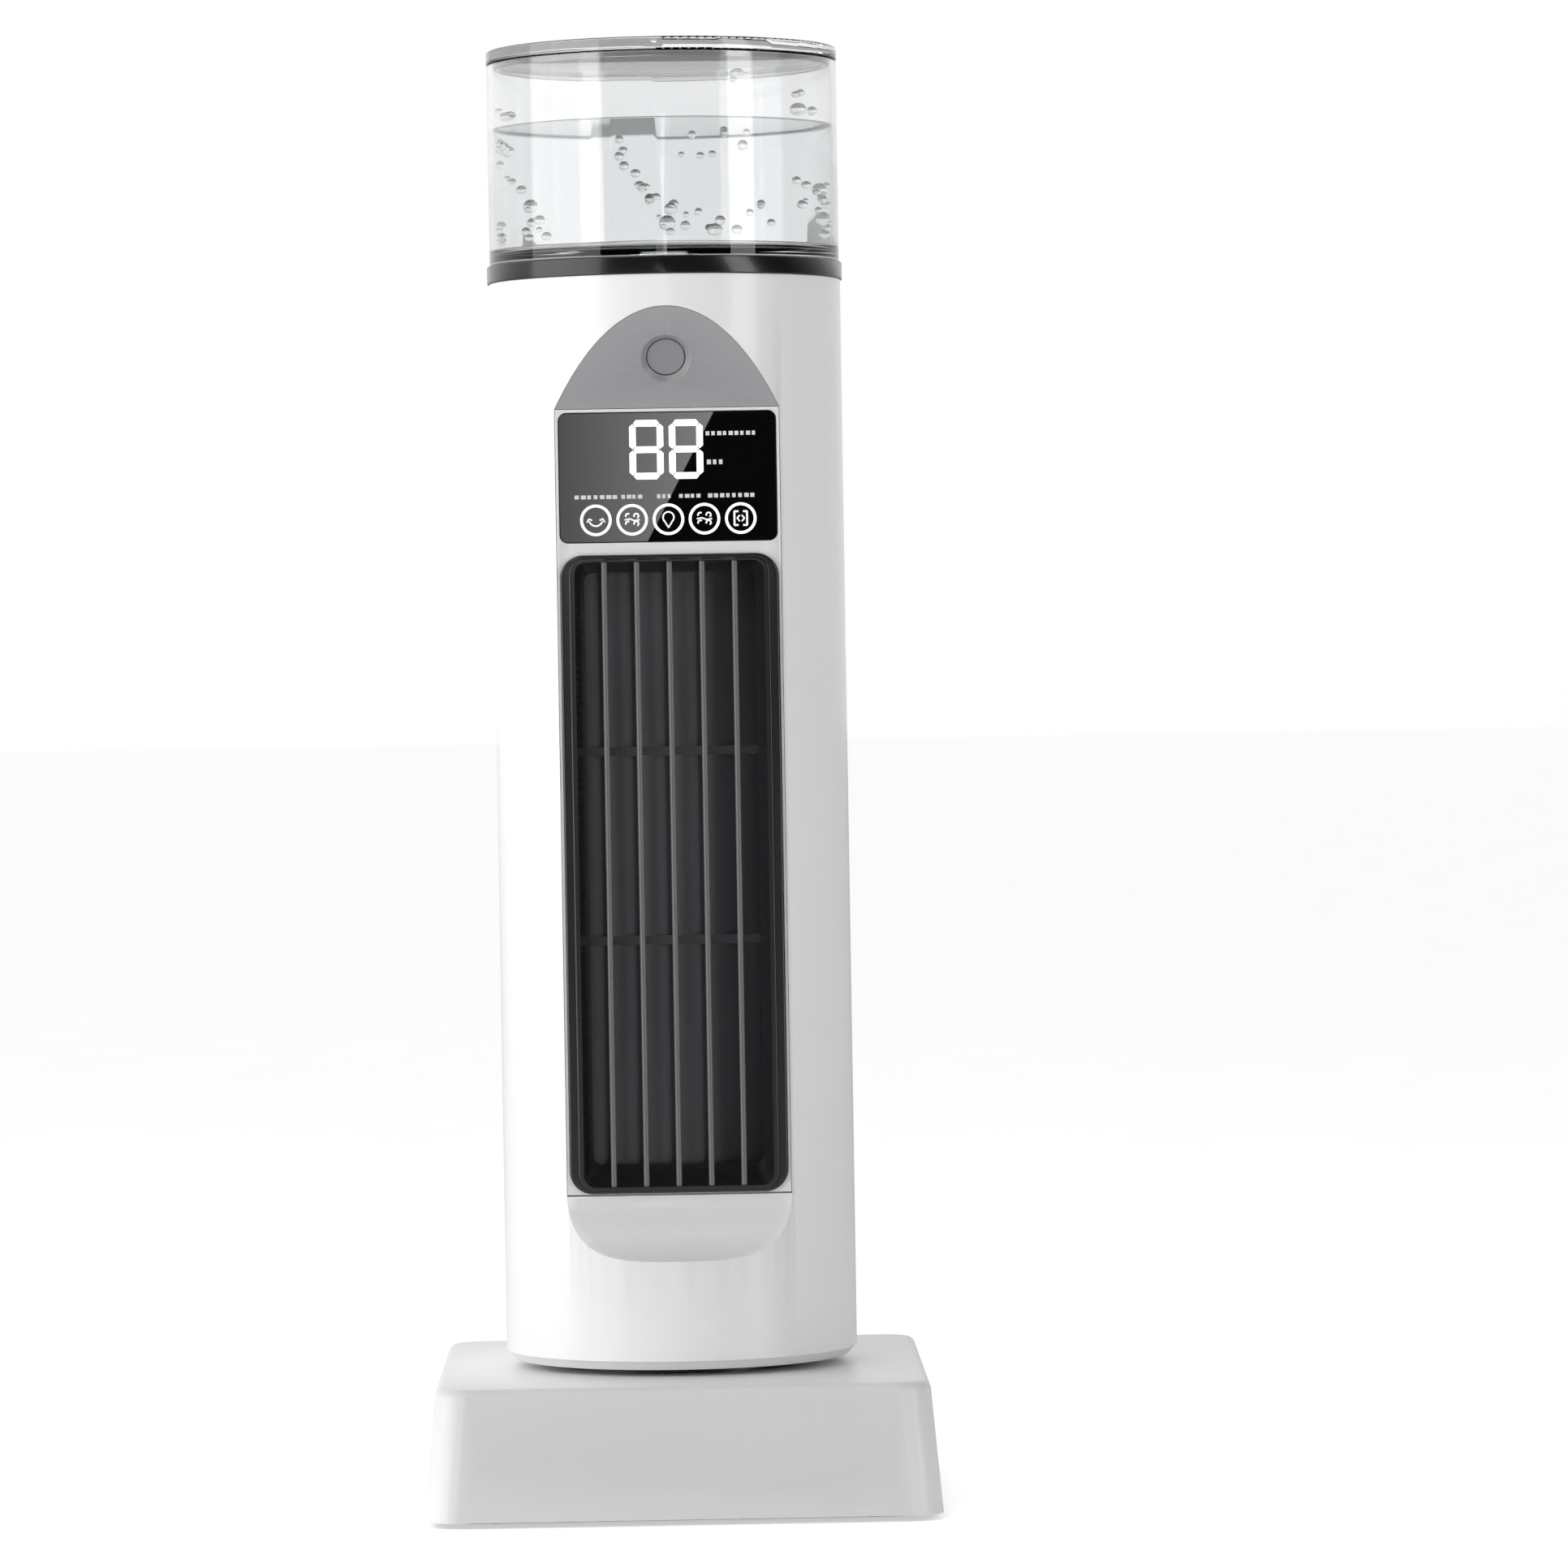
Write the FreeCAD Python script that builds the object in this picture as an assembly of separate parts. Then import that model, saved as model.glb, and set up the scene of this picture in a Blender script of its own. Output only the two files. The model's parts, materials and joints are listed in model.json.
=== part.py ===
"""Table-top ceramic tower heater with a clear water tank on top.

A round column turns on a square-cornered plinth.  The column holds a vertical
cross-flow fan, a ceramic heating element and a control panel, and carries a
lift-off tank with a lid.  Millimetres, +Z up, front towards -Y, origin on the
floor under the column's axis.
"""

import FreeCAD
import Part
import os
from math import acos, cos, hypot, pi, sin, sqrt

V = FreeCAD.Vector
X_AXIS = V(1, 0, 0)
Y_AXIS = V(0, 1, 0)
Z_AXIS = V(0, 0, 1)

# ---------------------------------------------------------------- clearances
fit_gap = 0.2        # between mouldings that are pressed or screwed together
slip_gap = 0.3       # between faces that slide or lift apart
run_gap = 0.06       # radial, shaft in bush
play_gap = 0.3       # radial, loose guides and pins
moving_gap = 0.5     # radial, large turning parts
thread_gap = 0.02    # radial, screw in its pilot hole

# ---------------------------------------------------------------- plinth
base_width = 186.0
base_depth = 204.0
base_lean = 4.0          # how far each wall leans in by the top
base_corner_r = 12.0
base_edge_r = 3.5
base_wall = 2.5
base_height = 47.3
skirt_z = 2.2            # the cover's lower edge, above the floor
plate_thick = 2.4
pad_drop = 1.8           # the plate's step below its flange
pad_inset = 11.0
foot_r = 8.0
foot_thick = 1.6
foot_inset = 25.0
ballast_size = (92.0, 34.0, 8.0)
gland_bore_r = 3.75
gland_length = 12.0
gland_flange_r = 7.1
gland_x = -48.0
gland_rise = 16.0

# ---------------------------------------------------------------- swivel and its drive
turntable_thick = 2.25
turntable_r = 48.0
hub_r = 30.5
hub_bore_r = 24.0
hub_flange_r = 41.0
hub_flange_thick = 3.0
gear_module = 1.25
gear_teeth = 56
pinion_teeth = 14
gear_pressure_angle = 25.0 * pi / 180.0
gear_thick = 7.2
gear_extra_distance = 0.3    # gives the teeth their backlash
roof_to_gear = 0.8
swing_motor_r = 14.0
swing_motor_height = 19.0
swing_shaft_offset = 8.0
swing_shaft_r = 2.5
tip_pin_r = 3.0
tip_travel = 3.0
tip_x = -60.0
tip_y = 18.0

# ---------------------------------------------------------------- column
column_r = 65.0
shell_wall = 2.5
seam_y = 6.0
floor_chamfer = 3.3
floor_thick = 3.1
chin_rise = 36.2         # plain shell under the front recess
scoop_height = 23.2
grille_height = 232.5
strip_height = 4.5       # bezel between grille and display
display_height = 47.3
bezel_lip = 1.3
arch_height = 36.6
crown_height = 11.5      # plain shell above the arch
face_depth = 14.5        # how far the flat face lies behind the shell's front
insert_thick = 3.0
seat_thick = 2.2
deck_thick = 2.5

# ---------------------------------------------------------------- outlet grille and vanes
grille_side_margin = 1.07
grille_corner_r = 8.5
grille_flange_thick = 1.8
grille_band = 3.2        # flat band outside the ridge
ridge_width = 2.1
ridge_rise = 0.7
bar_r = 1.05
bar_count = 5
bar_pitch = 11.85
duct_depth = 12.8        # from the face to the duct's inner end
duct_wall = 1.6
duct_side_taper = 3.4
duct_floor_rise = 7.4
duct_roof_drop = 3.7
vane_width = 11.4
vane_thick = 1.0
vane_angle = 20.0
vane_frame_depth = 9.0
vane_rail = 4.0
rib_height = 2.8

# ---------------------------------------------------------------- heater and fan
air_box_half = 34.0      # half width of vanes, heater and fan housing inside
housing_wall = 1.8
housing_plate = 2.5
heater_depth = 12.6
heater_rim = 4.5
ceramic_width = 4.0
fin_pitch = 3.0
fin_metal = 0.6
fan_y = 12.0
fan_r = 25.0
fan_blades = 26
fan_blade_chord = 7.0
fan_blade_thick = 0.9
fan_disc_thick = 2.0
motor_r = 24.0
motor_height = 27.5
motor_flange_r = 30.0
motor_flange_thick = 3.5
motor_shaft_r = 3.0
axle_r = 2.5

# ---------------------------------------------------------------- screw shank radii
base_screw_r = 1.35
hub_screw_r = 1.7
shell_screw_r = 1.6
housing_screw_r = 1.5
panel_screw_r = 1.2
motor_screw_r = 1.25
ear_screw_r = 1.15

# ---------------------------------------------------------------- power button
button_r = 6.9
well_r = 9.1
well_depth = 1.6
button_travel = 1.2

# ---------------------------------------------------------------- collar, tank and lid
collar_height = 6.6
collar_proud = 0.7
tank_r = 64.75
tank_wall = 2.2
tank_height = 73.65
tank_floor = 2.5
lid_thick = 5.0
spout_r = 11.0
valve_travel = 3.0

# ---------------------------------------------------------------- heights that follow
base_top_z = skirt_z + base_height
column_z = base_top_z + turntable_thick + slip_gap       # underside of the column's floor
shell_z = column_z + floor_chamfer
scoop_z = shell_z + chin_rise
face_z = scoop_z + scoop_height
grille_z0 = face_z + 0.8
grille_z1 = grille_z0 + grille_height
display_z0 = grille_z1 + strip_height
display_z1 = display_z0 + display_height
arch_z0 = display_z1 + bezel_lip
arch_z1 = arch_z0 + arch_height
shell_top_z = arch_z1 + crown_height
collar_top_z = shell_top_z + collar_height
tank_z = collar_top_z + slip_gap
tank_top_z = tank_z + tank_height
lid_z = tank_top_z + slip_gap
deck_z = arch_z1 + 3.4

face_y = -(column_r - face_depth)
face_half = sqrt(column_r ** 2 - face_y ** 2)
seat_y = face_y + insert_thick
seat_back_y = seat_y + seat_thick
shell_in_r = column_r - shell_wall
grille_half = face_half - grille_side_margin
duct_y = face_y + duct_depth
vane_y0 = duct_y + 0.1
heater_y0 = vane_y0 + vane_frame_depth + 0.1
heater_y1 = heater_y0 + heater_depth
air_z0 = grille_z0 + 2.6
air_z1 = grille_z1 + 1.1
housing_z0 = air_z0 - fit_gap - housing_plate
housing_z1 = air_z1 + fit_gap + housing_plate

# The slanted arch plane: from the shell's front at arch_z1 down to the flat face.
arch_slope = hypot(face_depth, arch_height)
arch_normal = V(0, -arch_height / arch_slope, -face_depth / arch_slope)
button_down = 0.515      # share of the way down the arch
button_centre = V(0, -column_r + face_depth * button_down, arch_z1 - arch_height * button_down)


# ---------------------------------------------------------------- helpers
def box(x0, x1, y0, y1, z0, z1):
    return Part.makeBox(x1 - x0, y1 - y0, z1 - z0, V(x0, y0, z0))


def rod(r, z0, z1, x=0.0, y=0.0):
    return Part.makeCylinder(r, z1 - z0, V(x, y, z0), Z_AXIS)


def rod_y(r, y0, y1, x, z):
    return Part.makeCylinder(r, y1 - y0, V(x, y0, z), Y_AXIS)


def tube(r_out, r_in, z0, z1, x=0.0, y=0.0):
    return rod(r_out, z0, z1, x, y).cut(rod(r_in, z0 - 1, z1 + 1, x, y))


def joined(pieces):
    whole = pieces[0].fuse(pieces[1:]) if len(pieces) > 1 else pieces[0]
    return whole.removeSplitter()


def rounded_wire(half_a, b0, b1, r, place):
    """Closed wire of a rectangle -half_a..half_a by b0..b1 with round corners; place(a, b) gives the point."""
    d = r * (1 - cos(pi / 4))
    a0 = -half_a
    a1 = half_a
    line = Part.LineSegment
    arc = Part.Arc
    edges = [
        line(place(a0 + r, b0), place(a1 - r, b0)),
        arc(place(a1 - r, b0), place(a1 - d, b0 + d), place(a1, b0 + r)),
        line(place(a1, b0 + r), place(a1, b1 - r)),
        arc(place(a1, b1 - r), place(a1 - d, b1 - d), place(a1 - r, b1)),
        line(place(a1 - r, b1), place(a0 + r, b1)),
        arc(place(a0 + r, b1), place(a0 + d, b1 - d), place(a0, b1 - r)),
        line(place(a0, b1 - r), place(a0, b0 + r)),
        arc(place(a0, b0 + r), place(a0 + d, b0 + d), place(a0 + r, b0)),
    ]
    return Part.Wire([e.toShape() for e in edges])


def flat_block(half_x, half_y, r, z0, z1):
    """Upright block with a rounded-rectangle plan."""
    wire = rounded_wire(half_x, -half_y, half_y, r, lambda a, b: V(a, b, z0))
    return Part.Face(wire).extrude(V(0, 0, z1 - z0))


def face_block(half_x, z0, z1, r, y0, y1):
    """Block with a rounded-rectangle front, lying along Y."""
    wire = rounded_wire(half_x, z0, z1, r, lambda a, b: V(a, y0, b))
    return Part.Face(wire).extrude(V(0, y1 - y0, 0))


def leaning_block(half_x, half_y, lean, r, z0, z1):
    """Block whose walls lean in by lean from z0 to z1."""
    low = rounded_wire(half_x, -half_y, half_y, r, lambda a, b: V(a, b, z0))
    x1 = half_x - lean
    y1 = half_y - lean
    high = rounded_wire(x1, -y1, y1, r, lambda a, b: V(a, b, z1))
    return Part.makeLoft([low, high], True, True)


def funnel(front, back, y0, y1):
    """Solid between two rounded rectangles (half_x, z0, z1, r) at y0 and y1."""
    wires = []
    for (half, low, high, r), y in ((front, y0), (back, y1)):
        wires.append(rounded_wire(half, low, high, r, lambda a, b, y=y: V(a, y, b)))
    return Part.makeLoft(wires, True, True)


def turned(points):
    """Solid of revolution about Z from (r, z) points."""
    corners = [V(r, 0, z) for r, z in points]
    face = Part.Face(Part.makePolygon(corners + corners[:1]))
    return face.revolve(V(0, 0, 0), Z_AXIS, 360)


def across(points_yz, half_x):
    """Solid with a (y, z) outline, -half_x..half_x wide."""
    corners = [V(-half_x, y, z) for y, z in points_yz]
    face = Part.Face(Part.makePolygon(corners + corners[:1]))
    return face.extrude(V(2 * half_x, 0, 0))


def on_arch(shape):
    """Places a shape made about local Z, outwards, at the button's centre on the arch."""
    placed = shape.copy()
    placed.Placement = FreeCAD.Placement(button_centre, FreeCAD.Rotation(Z_AXIS, arch_normal))
    return placed


def screw(shank_r, head_r, head_h, length):
    """Pan-head screw, head up, its seat at z = 0, with a cross recess."""
    body = rod(shank_r, -length, 0.2).fuse(rod(head_r, 0, head_h))
    slot = head_r * 0.6
    recess = box(-slot, slot, -0.4, 0.4, head_h * 0.45, head_h + 1)
    recess = recess.fuse(box(-0.4, 0.4, -slot, slot, head_h * 0.45, head_h + 1))
    return body.cut(recess)


def placed(shape, where, direction=Z_AXIS):
    moved = shape.copy()
    moved.Placement = FreeCAD.Placement(where, FreeCAD.Rotation(Z_AXIS, direction))
    return moved


def save(name, shape):
    solids = shape.Solids
    whole = solids[0] if len(solids) == 1 else Part.makeCompound(solids)
    for s in solids:
        if not s.isValid() or s.Volume <= 0:
            raise ValueError(name + " is not a sound solid")
    whole.exportStep(os.path.join("parts", name + ".step"))
    print(f"{name:18s} {len(solids):3d} solids {sum(s.Volume for s in solids) / 1000:9.2f} cm3")


# ---------------------------------------------------------------- plinth pieces
def lean_at(z):
    """How far the plinth's wall has leaned in at height z."""
    return base_lean * (z - skirt_z) / base_height


screw_spots = [(sx * (base_width / 2 - 19), sy * 30.0) for sx in (-1, 1) for sy in (-1, 1)]
foot_spots = [(sx * (base_width / 2 - foot_inset), sy * (base_depth / 2 - foot_inset))
              for sx in (-1, 1) for sy in (-1, 1)]
flange_z = skirt_z + 0.4
flange_top_z = flange_z + plate_thick
pad_z = flange_z - pad_drop
roof_z = base_top_z - base_wall
base_hole_r = hub_r + moving_gap
gland_z = skirt_z + gland_rise
wall_back_y = base_depth / 2 - lean_at(gland_z)


def base_cover():
    outer = leaning_block(base_width / 2, base_depth / 2, base_lean, base_corner_r, skirt_z, base_top_z)
    top_edges = [e for e in outer.Edges if abs(e.BoundBox.ZMin - base_top_z) < 1e-3]
    outer = outer.makeFillet(base_edge_r, top_edges)
    inner = leaning_block(base_width / 2 - base_wall, base_depth / 2 - base_wall,
                          base_lean * (roof_z - skirt_z) / base_height,
                          base_corner_r - base_wall, skirt_z, roof_z)
    cover = outer.cut(inner)
    bosses = [rod(4.5, flange_top_z, roof_z + 0.5, x, y) for x, y in screw_spots]
    cover = joined([cover] + bosses)
    holes = [rod(base_screw_r + thread_gap, flange_top_z - 1, flange_top_z + 12, x, y) for x,
            y in screw_spots]
    holes.append(rod(base_hole_r, roof_z - 1, base_top_z + 1))
    holes.append(rod_y(gland_bore_r + 2.4 + fit_gap, wall_back_y - 12, wall_back_y + 6, gland_x, gland_z))
    return cover.cut(holes)


def base_plate():
    half_x = base_width / 2 - base_wall - 2 * fit_gap - lean_at(flange_top_z)
    half_y = base_depth / 2 - base_wall - 2 * fit_gap - lean_at(flange_top_z)
    flange = flat_block(half_x, half_y, base_corner_r - base_wall - fit_gap, flange_z, flange_top_z)
    pad = flat_block(base_width / 2 - pad_inset, base_depth / 2 - pad_inset, 6.0, pad_z, flange_z + 0.1)
    posts = [rod(3.5, flange_top_z - 0.1, swing_ear_z, x, y) for x, y in swing_ears]
    plate = joined([flange, pad] + posts)
    cuts = [rod(2.0, pad_z - 1, flange_top_z + 1, x, y) for x, y in screw_spots]
    cuts += [rod(4.2, pad_z - 1, flange_z + 0.6, x, y) for x, y in screw_spots]
    cuts += [rod(foot_r + fit_gap, pad_z - 1, foot_thick, x, y) for x, y in foot_spots]
    cuts += [rod(ear_screw_r + thread_gap, swing_ear_z - 8, swing_ear_z + 1, x, y) for x, y in swing_ears]
    cuts.append(rod(tip_pin_r + play_gap, pad_z - 1, flange_top_z + 1, tip_x, tip_y))
    for row in range(-2, 3):
        y = row * 9.0
        cuts.append(box(-22, 22, y - 1.6, y + 1.6, pad_z - 1, flange_top_z + 1))
    return plate.cut(cuts)


def rubber_feet():
    feet = []
    for x, y in foot_spots:
        foot = rod(foot_r, 0, foot_thick, x, y)
        rim = [e for e in foot.Edges if e.BoundBox.ZMax < 1e-3]
        feet.append(foot.makeChamfer(0.4, rim))
    return Part.makeCompound(feet)


def base_screws():
    one = screw(base_screw_r, 3.6, 1.6, 11.0)
    seat = flange_z + 0.6
    return Part.makeCompound([placed(one, V(x, y, seat), V(0, 0, -1)) for x, y in screw_spots])


def ballast_plate():
    w, d, h = ballast_size
    y1 = -(turntable_r + 6)
    slab = box(-w / 2, w / 2, y1 - d, y1, flange_top_z, flange_top_z + h)
    corners = [e for e in slab.Edges if abs(e.BoundBox.ZLength - h) < 1e-3]
    return slab.makeFillet(3.0, corners)


def cord_gland():
    flange_y = wall_back_y + gland_flange_r * base_lean / base_height + thread_gap
    y1 = flange_y + 0.7
    bush = rod_y(gland_bore_r + 2.4, y1 - gland_length, y1, gland_x, gland_z)
    flange = rod_y(gland_flange_r, flange_y, y1, gland_x, gland_z)
    nut = rod_y(gland_flange_r, wall_back_y - base_wall - 4.0, wall_back_y - base_wall - 1.0, gland_x,
            gland_z)
    whole = joined([bush, flange, nut])
    return whole.cut(rod_y(gland_bore_r, y1 - gland_length - 1, y1 + 1, gland_x, gland_z))


# ---------------------------------------------------------------- swivel pieces
gear_top_z = roof_z - roof_to_gear
gear_z = gear_top_z - gear_thick
mesh_distance = gear_module * (gear_teeth + pinion_teeth) / 2 + gear_extra_distance
pinion_y = mesh_distance
swing_motor_y = pinion_y + swing_shaft_offset
swing_motor_z = gear_z - 7.4 - swing_motor_height
swing_ear_z = swing_motor_z + swing_motor_height - 1.0
swing_ears = [(-17.5, swing_motor_y), (17.5, swing_motor_y)]


def gear_face(teeth, first_tooth, z):
    """Face of an involute spur gear with a tooth centred on the angle first_tooth."""
    pitch_r = gear_module * teeth / 2
    base_circle_r = pitch_r * cos(gear_pressure_angle)
    tip_r = pitch_r + gear_module
    root_r = pitch_r - 1.25 * gear_module

    def involute(r):
        return sqrt(max((r / base_circle_r) ** 2 - 1, 0)) - acos(min(base_circle_r / r, 1))

    start_r = max(base_circle_r, root_r)
    radii = [start_r + (tip_r - start_r) * k / 3 for k in range(4)]
    half_tooth = pi / (2 * teeth) + involute(pitch_r)
    points = []
    for tooth in range(teeth):
        middle = first_tooth + 2 * pi * tooth / teeth
        flank = [(r, half_tooth - involute(r)) for r in radii]
        if root_r < start_r:
            flank.insert(0, (root_r, flank[0][1]))
        for r, a in flank:
            points.append(V(r * cos(middle - a), r * sin(middle - a), z))
        for r, a in reversed(flank):
            points.append(V(r * cos(middle + a), r * sin(middle + a), z))
    return Part.Face(Part.makePolygon(points + points[:1]))


def turntable_ring():
    return tube(turntable_r, base_hole_r + 1.5, base_top_z, base_top_z + turntable_thick)


def swivel_hub():
    floor_top = column_z + floor_thick
    clip_z = gear_z - 1.5
    hub = turned([
        (hub_bore_r, clip_z - 1.2), (hub_r - 2, clip_z - 1.2), (hub_r - 2, clip_z), (hub_r - 3.2, clip_z),
        (hub_r - 3.2, gear_z), (hub_r - 2, gear_z), (hub_r - 2, gear_top_z), (hub_r, gear_top_z),
        (hub_r, floor_top), (hub_flange_r, floor_top), (hub_flange_r, floor_top + hub_flange_thick),
        (hub_bore_r, floor_top + hub_flange_thick),
    ])
    holes = [rod(1.9, floor_top - 1, floor_top + 9, x, y) for x, y in hub_screw_spots]
    return hub.cut(holes)


hub_screw_spots = [(35.5 * cos(a), 35.5 * sin(a)) for a in (pi / 4, 3 * pi / 4, 5 * pi / 4, 7 * pi / 4)]


def hub_screws():
    one = screw(hub_screw_r, 3.2, 2.0, hub_flange_thick + floor_thick - 0.6)
    seat = column_z + floor_thick + hub_flange_thick
    return Part.makeCompound([placed(one, V(x, y, seat)) for x, y in hub_screw_spots])


def hub_clip():
    ring = tube(hub_r + 0.8, hub_r - 3.1, gear_z - 1.4, gear_z - 0.1)
    return ring.cut(box(-3, 3, 0, hub_r + 4, gear_z - 3, gear_z + 1))


def swing_gear():
    blank = gear_face(gear_teeth, pi / 2, gear_z).extrude(V(0, 0, gear_thick))
    return blank.cut(rod(hub_r - 2, gear_z - 1, gear_top_z + 1))


def swing_pinion():
    first = -pi / 2 + pi / pinion_teeth
    blank = gear_face(pinion_teeth, first, gear_z - 0.4).extrude(V(0, 0, gear_thick))
    collar = rod(5.2, gear_z - 3.0, gear_z)
    whole = joined([blank, collar])
    whole = whole.cut(rod(swing_shaft_r, gear_z - 5, gear_top_z + 1))
    whole.translate(V(0, pinion_y, 0))
    return whole


def swing_shaft():
    return rod(swing_shaft_r, swing_motor_z + swing_motor_height + 0.6, gear_top_z - 0.6, 0, pinion_y)


def swing_motor():
    top = swing_motor_z + swing_motor_height
    can = rod(swing_motor_r, swing_motor_z, top, 0, swing_motor_y)
    rim = [e for e in can.Edges if abs(e.BoundBox.ZLength) < 1e-3]
    can = can.makeFillet(1.0, rim)
    ears = box(-21, 21, swing_motor_y - 3.5, swing_motor_y + 3.5, swing_ear_z, swing_ear_z + 0.9)
    boss = rod(4.5, top - 1.0, top + 1.5, 0, pinion_y)
    plug = box(-7.3, 7.3, swing_motor_y + swing_motor_r - 3, swing_motor_y + swing_motor_r + 3,
            swing_motor_z + 2, top - 3)
    whole = joined([can, ears, boss, plug])
    cuts = [rod(2.0, swing_ear_z - 1, swing_ear_z + 3, x, y) for x, y in swing_ears]
    cuts.append(rod(swing_shaft_r + play_gap, top + 0.3, top + 3, 0, pinion_y))
    return whole.cut(cuts)


def swing_motor_screws():
    one = screw(ear_screw_r, 3.0, 1.8, 6.5)
    return Part.makeCompound([placed(one, V(x, y, swing_ear_z + 0.9)) for x, y in swing_ears])


# ---------------------------------------------------------------- tip-over switch
tip_flange_z = flange_top_z + tip_travel + 0.2
tip_switch_z = tip_flange_z + 4.4


def tip_plunger():
    pin = rod(tip_pin_r, 0, tip_flange_z + 0.5, tip_x, tip_y)
    end = [e for e in pin.Edges if e.BoundBox.ZMax < 1e-3]
    pin = pin.makeChamfer(0.5, end)
    flange = rod(tip_pin_r + 2, tip_flange_z, tip_flange_z + 1.0, tip_x, tip_y)
    nose = rod(1.2, tip_flange_z + 0.9, tip_switch_z + 0.6, tip_x, tip_y)
    return joined([pin, flange, nose])


def tip_switch():
    body = box(tip_x - 5, tip_x + 5, tip_y - 11, tip_y + 11, tip_switch_z, tip_switch_z + 10)
    legs = [box(tip_x - 5, tip_x + 5, tip_y + s - 2, tip_y + s + 2, flange_top_z,
            tip_switch_z + 0.1) for s in (-9, 9)]
    tags = [box(tip_x - 0.4, tip_x + 0.4, tip_y + s - 1.5, tip_y + s + 1.5, tip_switch_z + 9.9,
            tip_switch_z + 15)
            for s in (-8, 0, 8)]
    whole = joined([body] + legs + tags)
    return whole.cut(rod(1.6, tip_switch_z - 1, tip_switch_z + 4.5, tip_x, tip_y))


def tip_spring():
    """Coil between the pin's flange and the switch."""
    wire_r = 0.35
    low = tip_flange_z + 1.0 + wire_r
    high = tip_switch_z - wire_r
    pitch = (high - low) / 3
    path = Part.Wire(Part.makeHelix(pitch, high - low, 3.0).Edges)
    ring = Part.Wire(Part.makeCircle(wire_r, V(3.0, 0, 0), Y_AXIS))
    coil = path.makePipeShell([ring], True, True)
    coil.translate(V(tip_x, tip_y, low))
    return coil


# ---------------------------------------------------------------- column floor and shells
board_y = -42.0          # the power board's front
board_x = 34.0
lug_x = 51.5             # screw lugs that join the shells
lug_heights = (shell_z + 22, shell_top_z - 26)


def column_floor():
    rim_in = shell_in_r - play_gap
    floor_top = column_z + floor_thick
    disc = turned([
        (hub_r + fit_gap, column_z), (column_r - 0.1 - floor_chamfer, column_z), (column_r - 0.1, shell_z),
        (rim_in, shell_z), (rim_in, shell_z + 5), (rim_in - shell_wall, shell_z + 5),
        (rim_in - shell_wall, floor_top), (hub_r + fit_gap, floor_top),
    ])
    blocks = [box(s * 28 - 4, s * 28 + 4, board_y - 3, board_y + 4.6, floor_top - 0.5,
            floor_top + 11) for s in (-1, 1)]
    disc = joined([disc] + blocks)
    cuts = [box(-board_x - 1, board_x + 1, board_y - 0.1, board_y + 1.7, floor_top + 7, floor_top + 20)]
    cuts += [rod(hub_screw_r + thread_gap, column_z + 0.4, floor_top + 1, x, y) for x, y in hub_screw_spots]
    return disc.cut(cuts)


def face_outline(grow):
    """Front view outline of the arch and the flat face as an upright prism, grown by grow."""
    y0 = -column_r - 5
    centre_z = arch_z1 - column_r * arch_height / face_depth
    top = V(0, y0, arch_z1 + grow)
    half = face_half + grow
    tall = top.z - centre_z
    ellipse = Part.Ellipse(top, V(column_r + grow, y0, centre_z), V(0, y0, centre_z))
    corner_z = centre_z + tall * sqrt(1 - (half / (column_r + grow)) ** 2)
    right = V(half, y0, corner_z)
    left = V(-half, y0, corner_z)
    reach = min(ellipse.parameter(right), 2 * pi - ellipse.parameter(right))
    arch = Part.Arc(ellipse, -reach, reach).toShape()
    low_left = V(-half, y0, face_z)
    low_right = V(half, y0, face_z)
    sides = [Part.LineSegment(left, low_left), Part.LineSegment(low_left, low_right),
            Part.LineSegment(low_right, right)]
    wire = Part.Wire(Part.__sortEdges__([arch] + [side.toShape() for side in sides]))
    return Part.Face(wire).extrude(V(0, column_r, 0))


def behind(depth):
    """(y, z) of the arch plane's top and foot, moved back by depth square to each plane."""
    shift = arch_normal * -depth
    top = (-column_r + shift.y, arch_z1 + shift.z)
    slope = -arch_height / face_depth
    foot_y = face_y + depth
    foot = (foot_y, top[1] + (foot_y - top[0]) * slope)
    return top, foot


def in_front_of_face(depth, floor):
    """Everything in front of the arch plane and the flat face, moved back by depth, above floor."""
    top, foot = behind(depth)
    far_y = -column_r - 20
    slope = -arch_height / face_depth
    high = (far_y, top[1] + (far_y - top[0]) * slope)
    return across([high, foot, (foot[0], floor), (far_y, floor)], column_r)


def scoop_block(grow):
    """The scoop under the grille: everything in front of its quarter-ellipse wall, grown by grow."""
    deep = face_depth + grow
    tall = scoop_height + grow
    y0 = -column_r
    x0 = -column_r
    wall = Part.Ellipse(V(x0, y0, face_z - tall), V(x0, y0 + deep, face_z), V(x0, y0, face_z))
    start = V(x0, y0 + deep, face_z)
    end = V(x0, y0, face_z - tall)
    ends = sorted((wall.parameter(start), wall.parameter(end)))
    if ends[1] - ends[0] > pi:
        ends = [ends[1] - 2 * pi, ends[0]]
    front = V(x0, y0 - 12, face_z - tall)
    front_top = V(x0, y0 - 12, face_z)
    sides = [Part.LineSegment(end, front), Part.LineSegment(front, front_top),
            Part.LineSegment(front_top, start)]
    curve = Part.Arc(wall, ends[0], ends[1]).toShape()
    wire = Part.Wire(Part.__sortEdges__([curve] + [side.toShape() for side in sides]))
    return Part.Face(wire).extrude(V(2 * column_r, 0, 0))


def screw_lug(x, z, y0, y1):
    """Boss along Y with a web to the shell's wall."""
    far = 80 if x > 0 else -80
    web = box(min(x, far), max(x, far), y0, y1, z - 3, z + 3)
    return rod_y(4.6, y0, y1, x, z).fuse(web).common(rod(shell_in_r + 0.6, z - 10, z + 10))


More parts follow.
